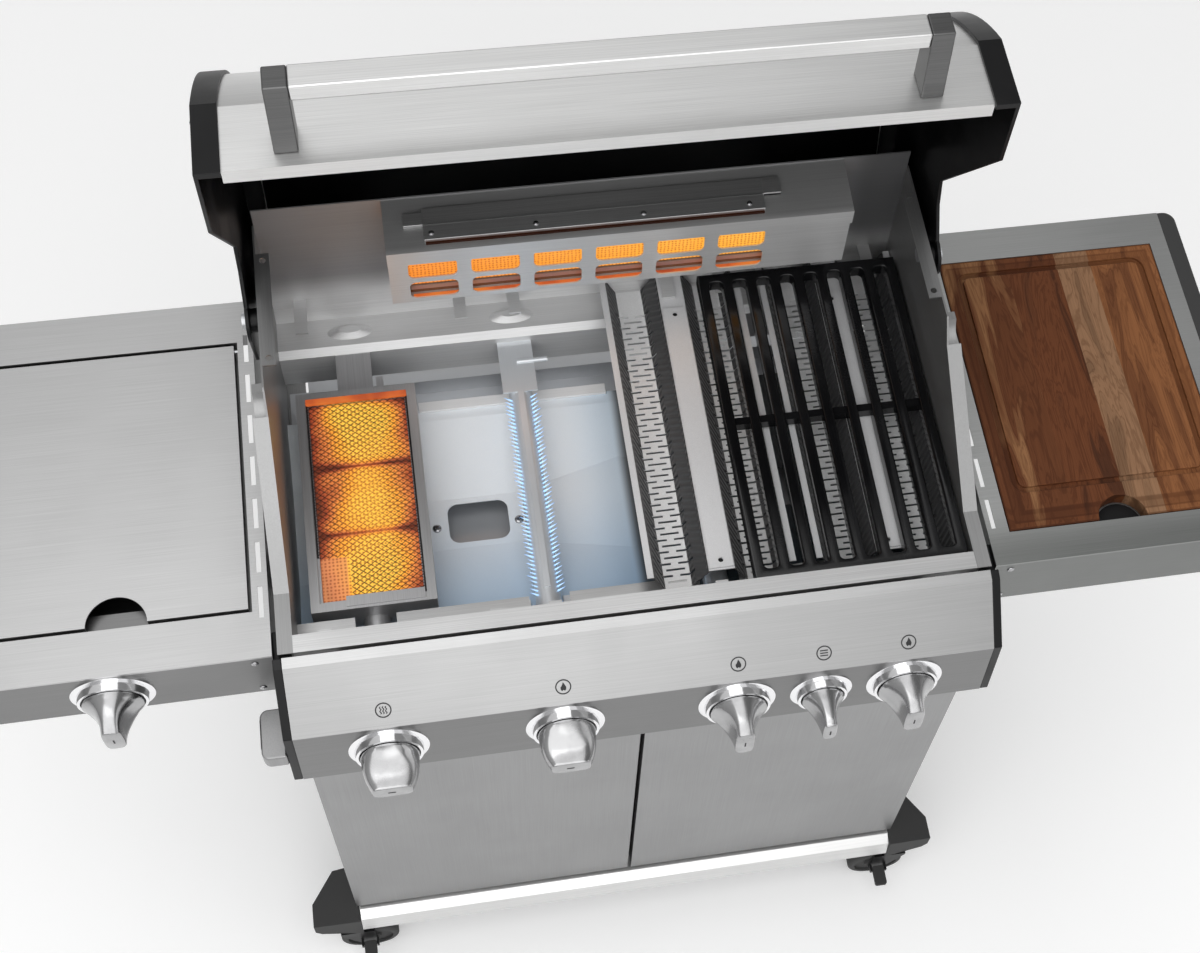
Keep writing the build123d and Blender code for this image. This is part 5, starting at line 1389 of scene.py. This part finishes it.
@dataclass
class Firebox(SubAssembly):
    """Burners, tamers, grate and inner walls."""

    paints: tuple[Paint, ...] = (
        Paint("firebox_steel", ("firebox_front_wall",)),
        Paint("rear_steel", ("firebox_rear_wall",)),
        Paint("housing_steel", ("rear_burner_housing",)),
        Paint("side_wall_steel", ("firebox_right_wall", "firebox_left_wall")),
        Paint("tamer_steel", ("flame_tamers",)),
        Paint("burner_steel", ("sear_burner_body",)),
        Paint("tube_steel", ("tube_burners",)),
        Paint("funnel_steel", ("drip_funnel",)),
        Paint("plated_steel", ("grease_tray", "gas_manifold", "hinge_pins")),
        Paint("glowing_ceramic", ("ceramic_tiles",)))
    bar: float = 11.5 * MM
    bar_rounding: Pair = (2.2 * MM, 1.4 * MM)
    gaps: int = 8
    corner: float = 5.5 * MM
    corner_steps: int = 6
    bridge: Pair = (9 * MM, 5 * MM)
    bridge_overlap: float = 0.4 * MM
    diamonds: tuple[int, int] = (13, 37)
    strand: float = 0.55 * MM
    notch: Pair = (31 * MM, 56 * MM)
    rim: float = 1.6 * MM
    front_flanges: tuple[Pair, ...] = ((-212 * MM, -112 * MM), (-76 * MM, 6 * MM))
    front_flange_depth: Pair = (6 * MM, 18 * MM)
    rear_flanges: tuple[Pair, ...] = ((-212 * MM, 8 * MM),)
    rear_flange_depth: Pair = (-4 * MM, 9 * MM)
    flange_levels: Pair = (0.3 * MM, 4.5 * MM)
    flame_step: float = 5.2 * MM
    flame: Pair = (1.0 * MM, 9.5 * MM)
    flame_growth: float = 0.4
    flame_rows: Pair = (-103.4 * MM, -83.2 * MM)
    flame_run: Pair = (-134 * MM, 122 * MM)
    flame_level: float = 21 * MM
    roof_fall: float = 8 * MM
    channel_rise: float = 7.0 * MM
    channel: tuple[Pair, Pair] = ((-184 * MM, 187 * MM), (9.5 * MM, 27 * MM))
    roof_plates: tuple[tuple[Pair, Pair, float], ...] = (
        ((-184 * MM, 208 * MM), (29 * MM, 50 * MM), 3.6 * MM),
        ((-205 * MM, -184 * MM), (29 * MM, 44 * MM), 5.0 * MM),
        ((188 * MM, 208 * MM), (29 * MM, 46 * MM), 5.0 * MM))
    # Strip of painted shadow in the gap in front of the channel: left and right, front and back, thickness.
    tint: tuple[Pair, Pair, float] = ((-183 * MM, 186 * MM), (7.6 * MM, 10.2 * MM), 3.2 * MM)
    roof_screws: tuple[float, ...] = (-176 * MM, -64 * MM, 53 * MM, 170 * MM)
    roof_screw_depth: float = 17 * MM
    roof_screw: Pair = (3.2 * MM, 1.6 * MM)
    drain_screws: tuple[float, ...] = (-206 * MM, -112 * MM)
    drain_screw: Pair = (5.4 * MM, 2.7 * MM)
    drain_line: float = -14 * MM
    drain_floor: float = 1.4 * MM
    sear_bar: tuple[Pair, Pair] = ((-4 * MM, -1 * MM), (2.5 * MM, 4 * MM))
    # Red glowing strip on the rear burner's floor: painted reflection of its glowing tiles.
    rear_bar: tuple[Point, Point] = ((24 * MM, 8.2 * MM, 1.6 * MM), (428 * MM, 14.6 * MM, 2.8 * MM))
    rail: tuple[Point, Point] = ((22 * MM, 17.0 * MM, 8 * MM), (432 * MM, 18.0 * MM, 15 * MM))
    ridges: Pair = (93.3 * MM, 280.0 * MM)
    ridge_ends: Pair = (11 * MM, 60 * MM)
    # Black discs of painted shade in the ridge holes: radius and height, and depth below the ridge top.
    ridge_hole: Pair = (2.8 * MM, 0.2 * MM)
    ridge_drop: float = 1.9 * MM

    def trim(self) -> None:
        """Adds the cast grate, the screen and the fine pieces of burners and funnel."""
        self._grate()
        self._screen()
        self._flanges()
        self._flames()
        self._rear_roof()
        self._heat()
        self._ridge_holes()
        self._screws()

    def _grate(self) -> None:
        """Replaces the grate by one with rounded cast bars."""
        low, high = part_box("grate")
        size, middle = high - low, (low + high) / 2
        pitch = Vector(((size.x - self.bar) / self.gaps, size.y - self.bar))
        cells = GridTree("grate_cells").run(
            "grate_field", self._opening(pitch, size.z), self.shop.materials["iron_enamel"],
            columns=self.gaps, rows=1, pitch_x=pitch.x, pitch_y=pitch.y)
        blank = Blank(cells)
        inner = Vector((pitch.x * self.gaps / 2, pitch.y / 2))
        blank.ribbon([[Vector((sx * (inner.x + out), sy * (inner.y + out), z))
                       for sx, sy in ((1, 1), (-1, 1), (-1, -1), (1, -1))]
                      for out, z in self._profile(0.0, self.bar / 2, size.z)], closed=True)
        blank.move(middle)
        blank.merge(0.02 * MM)
        self.shop.stand_in("cast_grate", blank.mesh("cast_grate", 50.0), "iron_enamel", "grate", "grate")

    def _profile(self, inner: float, edge: float, height: float, steps: int = 4) -> list[Pair]:
        """Section over a rounded edge, from the top to the bottom.

        Args:
            inner: where the flat top starts.
            edge: where the wall stands.
            height: height of the wall.
            steps: facets of each rounding.

        Returns:
            Offsets with their heights about the middle.
        """
        top, bottom = self.bar_rounding
        path = [(inner, height / 2)]
        for radius, sign, turns in ((top, 1, range(steps + 1)), (bottom, -1, range(steps, -1, -1))):
            for turn in turns:
                angle = math.pi / 2 * turn / steps
                drop = radius * (1 - math.cos(angle))
                path.append((edge - radius * (1 - math.sin(angle)), sign * (height / 2 - drop)))
        return [*path, (inner, -height / 2)]

    def _opening(self, pitch: Vector, height: float) -> Mesh:
        """Makes a cell of the grate: a long opening, half of the bars round it and a bridge across it.

        Args:
            pitch: size of the cell.
            height: height of the bars.

        Returns:
            The mesh of the cell.
        """
        half = pitch / 2
        gap = Vector((half.x - self.bar / 2, half.y - self.bar / 2))
        centre = gap - Vector((self.corner, self.corner))
        room = (half.x - centre.x, half.y - centre.y)
        quarter = [math.pi / 2 * step / self.corner_steps for step in range(self.corner_steps + 1)]
        rays = [Vector((math.cos(angle), math.sin(angle)))
                for angle in sorted({*quarter, math.atan2(room[1], room[0])})]
        flat, tiny = -1.0, 1e-6
        rows = []
        for offset, z in self._profile(flat, 0.0, height):
            corner = []
            for ray in rays:
                reach = self.corner - offset
                if offset == flat:
                    reach = min(room[0] / max(ray.x, tiny), room[1] / max(ray.y, tiny))
                corner.append(centre + ray * reach)
            back = list(reversed(corner))
            rows.append([Vector((sx * p.x, sy * p.y, z)) for sx, sy, points in (
                (1, 1, corner), (-1, 1, back), (-1, -1, corner), (1, -1, back)) for p in points])
        blank = Blank()
        blank.ribbon(rows, closed=True)
        across, (wide, drop) = gap.x + self.bridge_overlap, self.bridge
        blank.slab((-across, -wide / 2, -height / 2), (across, wide / 2, height / 2 - drop))
        return blank.mesh("grate_cell")

    def _screen(self) -> None:
        """Replaces the plain screen by fine expanded metal with a rim."""
        low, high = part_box("sear_burner_screen")
        size, middle = high - low, (low + high) / 2
        columns, rows = self.diamonds
        strands = ScreenTree().run(
            "screen_strands", bpy.data.meshes.new("screen_source"), self.shop.materials["hot_screen"],
            columns=columns, rows=rows, pitch_x=size.x / columns, pitch_y=size.y / rows,
            strand=self.strand, notch_x=self.notch[0] - size.x / 2, notch_y=self.notch[1] - size.y / 2)
        blank = Blank(strands)
        blank.move(middle)
        for left, front, right, back in (
                (low.x, low.y + self.notch[1], low.x + self.rim, high.y),
                (high.x - self.rim, low.y, high.x, high.y),
                (low.x + self.notch[0], low.y, high.x, low.y + self.rim),
                (low.x, high.y - self.rim, high.x, high.y)):
            blank.slab((left, front, low.z), (right, back, high.z))
        self.shop.stand_in("fine_screen", blank.plain("fine_screen"), "hot_screen", "sear_burner_screen")

    def _flanges(self) -> None:
        """Adds the folded flanges along the front and the rear of the funnel's open half."""
        low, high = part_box("drip_funnel")
        bottom, top = self.flange_levels
        blank = Blank()
        for edge, (front, back), runs in ((low.y, self.front_flange_depth, self.front_flanges),
                                          (high.y, self.rear_flange_depth, self.rear_flanges)):
            for left, right in runs:
                blank.slab((left, front, bottom), (right, back, top), (0.0, edge, high.z))
        mesh = rounded(blank.mesh("funnel_flanges"), 0.8 * MM)
        self.shop.piece("funnel_flanges", mesh, "flange_steel", "drip_funnel")

    def _flames(self) -> None:
        """Adds two rows of small flames along the lit tube burner."""
        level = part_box("tube_burners")[0].z + self.flame_level
        start, end = self.flame_run
        spots = []
        for lean, x in zip((-1, 1), self.flame_rows):
            for index in range(int((end - start) / self.flame_step)):
                y = start + (index + 0.25 * lean) * self.flame_step
                spots.append((Vector((x, y, level)), Vector((lean * 0.75, 0.12, 0.55)).normalized()))
        mesh = ScatterTree(Stud.FLAME).scatter(
            "burner_flames", spots, *self.flame, self.shop.materials["blue_flame"], self.flame_growth)
        self.shop.piece("burner_flames", mesh, "blue_flame", "tube_burners")

    def _roof(self, y: float) -> float:
        """Height of the rear burner's roof at a depth."""
        low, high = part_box("rear_burner_housing")
        return high.z - self.roof_fall * (high.y - y) / (high.y - low.y)

    def _roof_slab(self, blank: Blank, x: Pair, y: Pair, rise: float) -> None:
        """Adds a slab that lies on the sloping roof.

        Args:
            blank: mesh to add to.
            x: its left and right.
            y: its front and back, from the housing's front.
            rise: its thickness.
        """
        front, back = (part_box("rear_burner_housing")[0].y + depth for depth in y)
        outline = [Vector((side, depth, self._roof(depth)))
                   for side, depth in ((x[0], front), (x[1], front), (x[1], back), (x[0], back))]
        blank.plate(outline, UP, rise)

    def _rear_roof(self) -> None:
        """Adds the screwed channel, the plates behind it and a strip of painted shadow in the gap in front
        of the channel on the rear burner's roof.
        """
        blank = Blank()
        for plate in ((*self.channel, self.channel_rise), *self.roof_plates):
            self._roof_slab(blank, *plate)
        mesh = rounded(blank.mesh("rear_channel", 30.0), 0.5 * MM)
        self.shop.piece("rear_channel", mesh, "firebox_steel", "rear_burner_housing")
        blank = Blank()
        self._roof_slab(blank, *self.tint)
        self.shop.piece("tinted_gap", blank.mesh("tinted_gap"), "heat_tint", "rear_burner_housing")

    def _heat(self) -> None:
        """Adds the glowing bar of the sear, a red strip on the rear burner's floor that paints the
        reflection of its glowing tiles, and the strip behind the windows.
        """
        low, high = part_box("sear_burner_screen")
        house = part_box("rear_burner_housing")[0]
        (front, bottom), (back, top) = self.sear_bar
        blank = Blank()
        blank.slab((low.x, front, bottom), (high.x, back, top), (0.0, high.y, high.z))
        # Red strip on the housing floor: painted reflection of the glowing tiles.
        blank.slab(*self.rear_bar, house)
        mesh = rounded(blank.mesh("glowing_bars"), 0.5 * MM)
        self.shop.piece("glowing_bars", mesh, "red_heat", "ceramic_tiles")
        blank = Blank()
        blank.slab(*self.rail, house)
        self.shop.piece("tile_rail", blank.mesh("tile_rail"), "burner_steel", "rear_burner_housing")

    def _ridge_holes(self) -> None:
        """Adds black discs just under the ends of the tamers' ridges: painted shade in the holes there."""
        low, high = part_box("flame_tamers")
        front, back = self.ridge_ends
        spots = [(Vector((x, y, high.z - self.ridge_drop)), UP)
                 for x in self.ridges for y in (low.y + front, high.y - back)]
        self.shop.studs("ridge_holes", spots, self.ridge_hole, finish="lining_enamel", like="flame_tamers")

    def _screws(self) -> None:
        """Adds the screws of the rear channel and of the drip funnel."""
        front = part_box("rear_burner_housing")[0].y + self.roof_screw_depth
        level = self._roof(front) + self.channel_rise
        lean = Vector((0, -0.12, 1)).normalized()
        spots = [(Vector((x, front, level)), lean) for x in self.roof_screws]
        self.shop.studs("roof_screws", spots, self.roof_screw)
        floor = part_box("drip_funnel")[0].z + self.drain_floor
        spots = [(Vector((x, self.drain_line, floor)), UP) for x in self.drain_screws]
        self.shop.studs("drain_screws", spots, self.drain_screw)


@dataclass
class ControlPanel(SubAssembly):
    """Front panel with knobs, bezels and printed signs."""

    paints: tuple[Paint, ...] = (
        Paint("panel_steel", ("control_panel",)),
        Paint("brass", ("valve_stem*",)),
        Paint("bright_chrome", ("knob_bezels",)))
    roundings: tuple[Rounding, ...] = (
        Rounding("panel_ends", 1.2 * MM, "cap_paint"),
        Rounding("bottle_opener", 2.0 * MM, "door_steel"))
    nose: Pair = (11 * MM, 3 * MM)
    slope: Pair = (56 * MM, 55 * MM)
    signs: tuple[tuple[int, Sign], ...] = (
        (-3, Sign.WAVES), (-1, Sign.FLAME), (1, Sign.FLAME), (2, Sign.BARS), (3, Sign.FLAME))
    sign_share: float = 0.745
    sign_radius: float = 8.5 * MM
    sign_ring: float = 1.3 * MM
    pitch: float = 93.33 * MM
    ink: float = 0.25 * MM
    ink_gap: float = 0.02 * MM
    knobs: tuple[str, ...] = ("1", "2", "3", "4", "5", "side_burner")
    lit: tuple[str, ...] = ("1", "2")
    knob_tilt: float = math.atan2(9.0, 94.0)
    knob_levels: Point = (5.5 * MM, 13.0 * MM, 52.2 * MM)
    knob_edge: float = 0.8 * MM
    knob_sides: int = 48
    stem_offset: float = 4.25 * MM
    bore: float = 4.3 * MM
    bore_depth: float = 18.3 * MM
    grip_tip: float = 0.34
    grip_side: float = 0.98
    grip_powers: Pair = (2.0, 4.2)
    grip_steps: int = 12
    crown: tuple[Pair, ...] = ((0.25 * MM, 1.4 * MM), (0.9 * MM, 0.5 * MM), (2.2 * MM, 0.0))
    crown_start: float = 2.4 * MM
    pointer: Pair = (0.8 * MM, 4 * MM)
    pointer_shift: float = 1.0 * MM

    def trim(self) -> None:
        """Adds the knobs and the signs."""
        for tag in self.knobs:
            self._knob(tag)
        self._signs()

    def _sections(self, radius: float) -> list[tuple[float, float, float, float]]:
        """Oval sections of a knob, from the end of its bore over its foot to its crown.

        Args:
            radius: radius of the foot.

        Returns:
            Half width across and along the grip, power and level of each section.
        """
        foot, waist, top = self.knob_levels
        plain, square = self.grip_powers
        rows = [(reach, reach, plain, level) for reach, level in (
            (self.bore, foot + self.bore_depth), (self.bore, foot), (radius - self.knob_edge, foot),
            (radius, foot + self.knob_edge), (radius, waist))]
        tip, side = self.grip_tip * radius, self.grip_side * radius
        for step in range(1, self.grip_steps + 1):
            share = step / self.grip_steps
            rows.append((tip + (side - tip) * (1 - share) ** 2.2, side * (1 - 0.3 * share ** 2.4),
                         plain + (square - plain) * share,
                         waist + (top - self.crown_start - waist) * share))
        wide, deep = rows[-1][:2]
        return rows + [(wide - inset, deep - inset, square, top - drop) for inset, drop in self.crown]

    def _oval(self, axes: tuple[Vector, Vector], wide: float, deep: float, power: float,
              turn: int) -> Vector:
        """One point of a knob's oval section.

        Args:
            axes: directions across the grip and along it.
            wide: half width across.
            deep: half width along.
            power: 2 for an ellipse, more for a squarer shape.
            turn: number of the point.

        Returns:
            The point, from the section's centre.
        """
        angle = math.tau * turn / self.knob_sides
        x, y = (math.copysign(abs(part) ** (2.0 / power), part)
                for part in (math.cos(angle), math.sin(angle)))
        return axes[0] * wide * x + axes[1] * deep * y

    def _knob(self, tag: str) -> None:
        """Replaces a knob by one whose round foot runs smoothly into its grip, and prints its pointer.

        Args:
            tag: end of the knob's name.
        """
        node = f"knob_{tag}"
        low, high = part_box(node)
        tilt = 0.0 if tag == "side_burner" else self.knob_tilt
        out = Vector((0, -math.cos(tilt), math.sin(tilt)))
        up = Vector((0, math.sin(tilt), math.cos(tilt)))
        stem_low, stem_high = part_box(f"valve_stem_{tag}")
        origin = (stem_low + stem_high) / 2 + out * self.stem_offset
        across, along = axes = (up, RIGHT) if tag in self.lit else (RIGHT, up)
        blank = Blank()
        blank.ribbon([[origin + out * level + self._oval(axes, wide, deep, power, turn)
                       for turn in range(self.knob_sides)]
                      for wide, deep, power, level in self._sections((high.x - low.x) / 2)], closed=True)
        points = blank.shape.verts
        points.ensure_lookup_table()
        blank.shape.faces.new(points[:self.knob_sides])
        blank.shape.faces.new(points[-self.knob_sides:])
        self.shop.stand_in(f"{node}_grip", blank.mesh(f"{node}_grip"), "satin_knob", node, node)
        centre = origin + out * (self.knob_levels[-1] + self.ink_gap) - along * self.pointer_shift
        half, reach = self.pointer
        blank = Blank()
        blank.plate([centre + across * x * half + along * y * reach
                     for x, y in ((-1, -1), (1, -1), (1, 1), (-1, 1))], out, self.ink)
        self.shop.piece(f"{node}_pointer", blank.mesh(f"{node}_pointer"), "panel_ink", "panel_ends", node)

    def _signs(self) -> None:
        """Prints ringed signs along the top of the panel."""
        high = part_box("control_panel")[1]
        bend = Vector((0, high.y - self.nose[0], high.z - self.nose[1]))
        fall = Vector((0, -self.slope[0], -self.slope[1]))
        up = -fall.normalized()
        out = RIGHT.cross(up).normalized()
        size = self.sign_radius
        blank = Blank()
        for slot, sign in self.signs:
            centre = bend + fall * self.sign_share + RIGHT * slot * self.pitch + out * self.ink_gap
            blank.ring(centre, (RIGHT, up, out), (size - self.sign_ring, size), self.ink)
            for outline in self._marks(sign):
                blank.plate([centre + RIGHT * u * size + up * v * size for u, v in outline], out, self.ink)
        self.shop.piece("panel_signs", blank.mesh("panel_signs"), "panel_ink", "panel_ends")

    def _marks(self, sign: Sign) -> list[list[Pair]]:
        """Outlines of the mark inside a ring.

        Args:
            sign: the mark.

        Returns:
            Corners of each plate, as shares of the ring's radius.
        """
        if sign is Sign.FLAME:
            return [[(0.0, 0.62), (0.2, 0.3), (0.36, -0.05), (0.34, -0.34), (0.18, -0.54), (0.0, -0.4),
                     (-0.18, -0.54), (-0.34, -0.34), (-0.36, -0.05), (-0.2, 0.12)]]
        sway, half = (0.08 if sign is Sign.WAVES else 0.0), 0.07
        outlines = []
        for row in (-0.34, 0.0, 0.34):
            path = [(u * 0.1, row + sway * math.sin(u * 1.3)) for u in range(-5, 6)]
            edge = [(u, v - half) for u, v in path] + [(u, v + half) for u, v in reversed(path)]
            outlines.append([(v, u) for u, v in edge] if sign is Sign.WAVES else edge)
        return outlines


@dataclass
class Tables(SubAssembly):
    """Side tables, lid, board and side burner."""

    paints: tuple[Paint, ...] = (
        Paint("table_steel", ("left_table",)),
        Paint("right_table_steel", ("right_table",)),
        Paint("iron_enamel", ("side_burner_ring",)))
    roundings: tuple[Rounding, ...] = (
        Rounding("side_burner_lid", 0.8 * MM, "table_steel", "side_burner_lid"),
        Rounding("table_end_caps", 3.0 * MM, "black_moulding", segments=3),
        Rounding("cutting_board", 1.8 * MM, "board_wood", "cutting_board", 3),
        Rounding("side_burner_trivet", 1.4 * MM, "iron_enamel"))
    screw: Pair = (4.0 * MM, 1.4 * MM)
    screw_inset: float = 19 * MM
    screw_drop: float = 14 * MM
    screw_rise: float = 10 * MM
    screw_gap: float = 0.3 * MM
    # Black half disc of painted shade under the board's finger notch: radius, drop and thickness.
    well: float = 26.5 * MM
    shade_drop: float = 0.2 * MM
    well_floor: float = 0.12 * MM

    def trim(self) -> None:
        """Adds the painted shade under the finger notch and the screws at the inner ends."""
        self._finger_well()
        spots = []
        for node, side in (("right_table", 1), ("left_table", -1)):
            low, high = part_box(node)
            x = (low.x if side > 0 else high.x) + side * self.screw_inset
            for z in (high.z - self.screw_drop, low.z + self.screw_rise):
                spots.append((Vector((x, low.y - self.screw_gap, z)), Vector((0, -1, 0))))
        self.shop.studs("table_screws", spots, self.screw)

    def _finger_well(self) -> None:
        """Adds a black half disc on the board's bed, under its finger notch: painted shade where the notch
        looks dark.
        """
        low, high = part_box("cutting_board")
        middle, level = (low.x + high.x) / 2, low.z - self.shade_drop
        points = [Vector((middle + self.well * math.cos(angle), low.y + self.well * math.sin(angle), level))
                  for angle in map(math.radians, range(12, 169, 12))]
        blank = Blank()
        blank.plate(points, UP, self.well_floor)
        self.shop.piece("finger_well", blank.mesh("finger_well"), "lining_enamel", "right_table")


@dataclass
class Hood(SubAssembly):
    """Roll-top hood: steel shell, black caps and lining, flat handle."""

    paints: tuple[Paint, ...] = (Paint("hood_steel", ("hood_shell",)),)
    roundings: tuple[Rounding, ...] = (
        Rounding("hood_end_caps", 2.2 * MM, "cap_paint", "hood"),
        Rounding("handle_posts", 1.6 * MM, "post_steel", "hood"),
        Rounding("handle_bar", 1.6 * MM, "hood_steel", "hood"))
    radius: float = 350 * MM
    face: float = 73 * MM
    lining_gap: float = 2.4 * MM
    lining_inset: float = 1.5 * MM
    lining_end: float = 40 * MM
    lining_steps: int = 40
    lining_wall: float = 0.5 * MM
    screw: Pair = (4.0 * MM, 1.6 * MM)
    screw_lift: float = 0.4 * MM

    def trim(self) -> None:
        """Adds the lining and the screws of the caps."""
        self._lining()
        low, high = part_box("hood_end_caps")
        places = ((low.y + 16 * MM, high.z - 40 * MM), (low.y + 70 * MM, high.z - 14 * MM),
                  (high.y - 22 * MM, high.z - 300 * MM))
        spots = [(Vector((edge + side * self.screw_lift, y, z)), Vector((side, 0, 0)))
                 for side, edge in ((-1, low.x), (1, high.x)) for y, z in places]
        self.shop.studs("cap_screws", spots, self.screw, "hood")

    def _lining(self) -> None:
        """Adds the black enamelled inside of the hood."""
        low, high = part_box("hood_shell")
        half = (high.x - low.x) / 2 - self.lining_inset
        middle = Vector((high.y - self.radius, 0.0))
        middle.y = high.z - math.sqrt(self.radius ** 2 - (low.y + self.face - middle.x) ** 2)
        inner, roof = self.radius - self.lining_gap, high.z - self.lining_gap
        start = math.asin(min(1.0, (roof - middle.y) / inner))
        end = -math.asin((middle.y - low.z - self.lining_end) / inner)
        path = [(low.y + self.lining_inset, roof)]
        for step in range(self.lining_steps + 1):
            angle = start + (end - start) * step / self.lining_steps
            path.append((middle.x + inner * math.cos(angle), middle.y + inner * math.sin(angle)))
        blank = Blank()
        blank.ribbon([[Vector((x, y, z)) for x in (-half, half)] for y, z in path])
        mesh = walled(blank.mesh("hood_lining", 60.0), self.lining_wall)
        self.shop.piece("hood_lining", mesh, "lining_enamel", "hood_end_caps", "hood")


@dataclass(frozen=True)
class Lamp:
    """Square soft lamp: where it hangs, what it faces, the length of its sides and its watts."""

    name: str
    place: Point
    target: Point
    size: float
    power: float


@dataclass
class Studio:
    """Pale floor, soft light and the camera at the photograph's angle."""

    floor: bpy.types.Material
    floor_reach: float = 14.0
    eye: Point = (-0.1906, -1.0138, 2.7377)
    right: Point = (0.9826, -0.1688, 0.0769)
    down: Point = (-0.1113, -0.8682, -0.4836)
    forward: Point = (0.1484, 0.4666, -0.8719)
    lens: float = 57.03
    shift: Pair = (-0.1082, -0.0157)
    sky: float = 0.68
    lamps: tuple[Lamp, ...] = (
        Lamp("key", (-0.9, -2.1, 4.0), (0.0, 0.0, 0.85), 5.0, 98.0),
        Lamp("fill", (2.6, -1.4, 2.4), (0.0, 0.0, 0.8), 2.2, 12.0),
        Lamp("top", (-0.35, 0.6, 4.4), (-0.35, 0.1, 0.9), 3.0, 26.0),
        Lamp("front", (0.4, -3.4, 2.2), (0.0, -0.5, 0.8), 2.4, 9.0))

    def build(self) -> None:
        """Makes the floor, the world, the lamps and the camera."""
        self._floor()
        self._world()
        for lamp in self.lamps:
            self._lamp(lamp)
        self._camera()
        bpy.context.scene.view_settings.view_transform = "Standard"

    def _floor(self) -> None:
        """Makes the floor, which is staging and no piece of the grill."""
        mesh = bpy.data.meshes.new("floor")
        reach = self.floor_reach
        corners = [(x * reach, y * reach, 0) for x, y in ((-1, -1), (1, -1), (1, 1), (-1, 1))]
        mesh.from_pydata(corners, [], [(0, 1, 2, 3)])
        floor = bpy.data.objects.new("floor", mesh)
        bpy.context.scene.collection.objects.link(floor)
        mesh.materials.append(self.floor)

    def _world(self) -> None:
        """Makes a soft sky that darkens towards the horizon and overhead on the right."""
        world = bpy.data.worlds.new("studio")
        bpy.context.scene.world = world
        world.use_nodes = True
        graph = ShaderGraph(world.node_tree)
        way = graph.add("ShaderNodeTexCoord").outputs["Generated"]
        x, _, z = graph.add("ShaderNodeSeparateXYZ", {0: way}).outputs
        sky = graph.ramp(z, ((0.0, grey(0.62)), (0.47, grey(0.77)), (0.87, grey(0.9))))
        right = graph.ramp(x, ((0.10, grey(1.0)), (0.24, grey(0.66)), (0.36, grey(0.4))))
        high = graph.ramp(z, ((0.25, grey(0.0)), (0.6, grey(1.0))))
        back = world.node_tree.nodes["Background"]
        graph.put(graph.mix(high, sky, graph.times(sky, right)), back.inputs["Color"])
        graph.put(self.sky, back.inputs["Strength"])

    def _lamp(self, lamp: Lamp) -> None:
        """Adds a lamp that the camera doesn't see.

        Args:
            lamp: the lamp.
        """
        light = bpy.data.lights.new(lamp.name, "AREA")
        light.size = lamp.size
        light.energy = lamp.power
        thing = bpy.data.objects.new(lamp.name, light)
        thing.visible_camera = False
        thing.location = lamp.place
        way = Vector(lamp.target) - Vector(lamp.place)
        thing.rotation_euler = way.to_track_quat("-Z", "Y").to_euler()
        bpy.context.scene.collection.objects.link(thing)

    def _camera(self) -> None:
        """Adds the camera that was fitted to the photograph."""
        data = bpy.data.cameras.new("camera")
        data.lens = self.lens
        data.sensor_width = 36.0
        data.sensor_fit = "HORIZONTAL"
        data.shift_x, data.shift_y = self.shift
        data.clip_end = 60.0
        camera = bpy.data.objects.new("camera", data)
        columns = (Vector(self.right), -Vector(self.down), -Vector(self.forward))
        turn = Matrix([[column[row] for column in columns] for row in range(3)])
        camera.matrix_world = Matrix.Translation(self.eye) @ turn.to_4x4()
        bpy.context.scene.collection.objects.link(camera)
        bpy.context.scene.camera = camera


def main() -> None:
    """Builds the dressed grill in order."""
    logging.basicConfig(level=logging.INFO, format="%(message)s")
    for thing in list(bpy.data.objects):
        bpy.data.objects.remove(thing)
    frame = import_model()
    shop = Workshop(frame, [*plain_finishes(), *placed_finishes()])
    for assembly in (Cart, Firebox, ControlPanel, Tables, Hood):
        assembly(shop).dress()
    Studio(shop.materials["pale_floor"]).build()


if __name__ == "__main__":
    main()
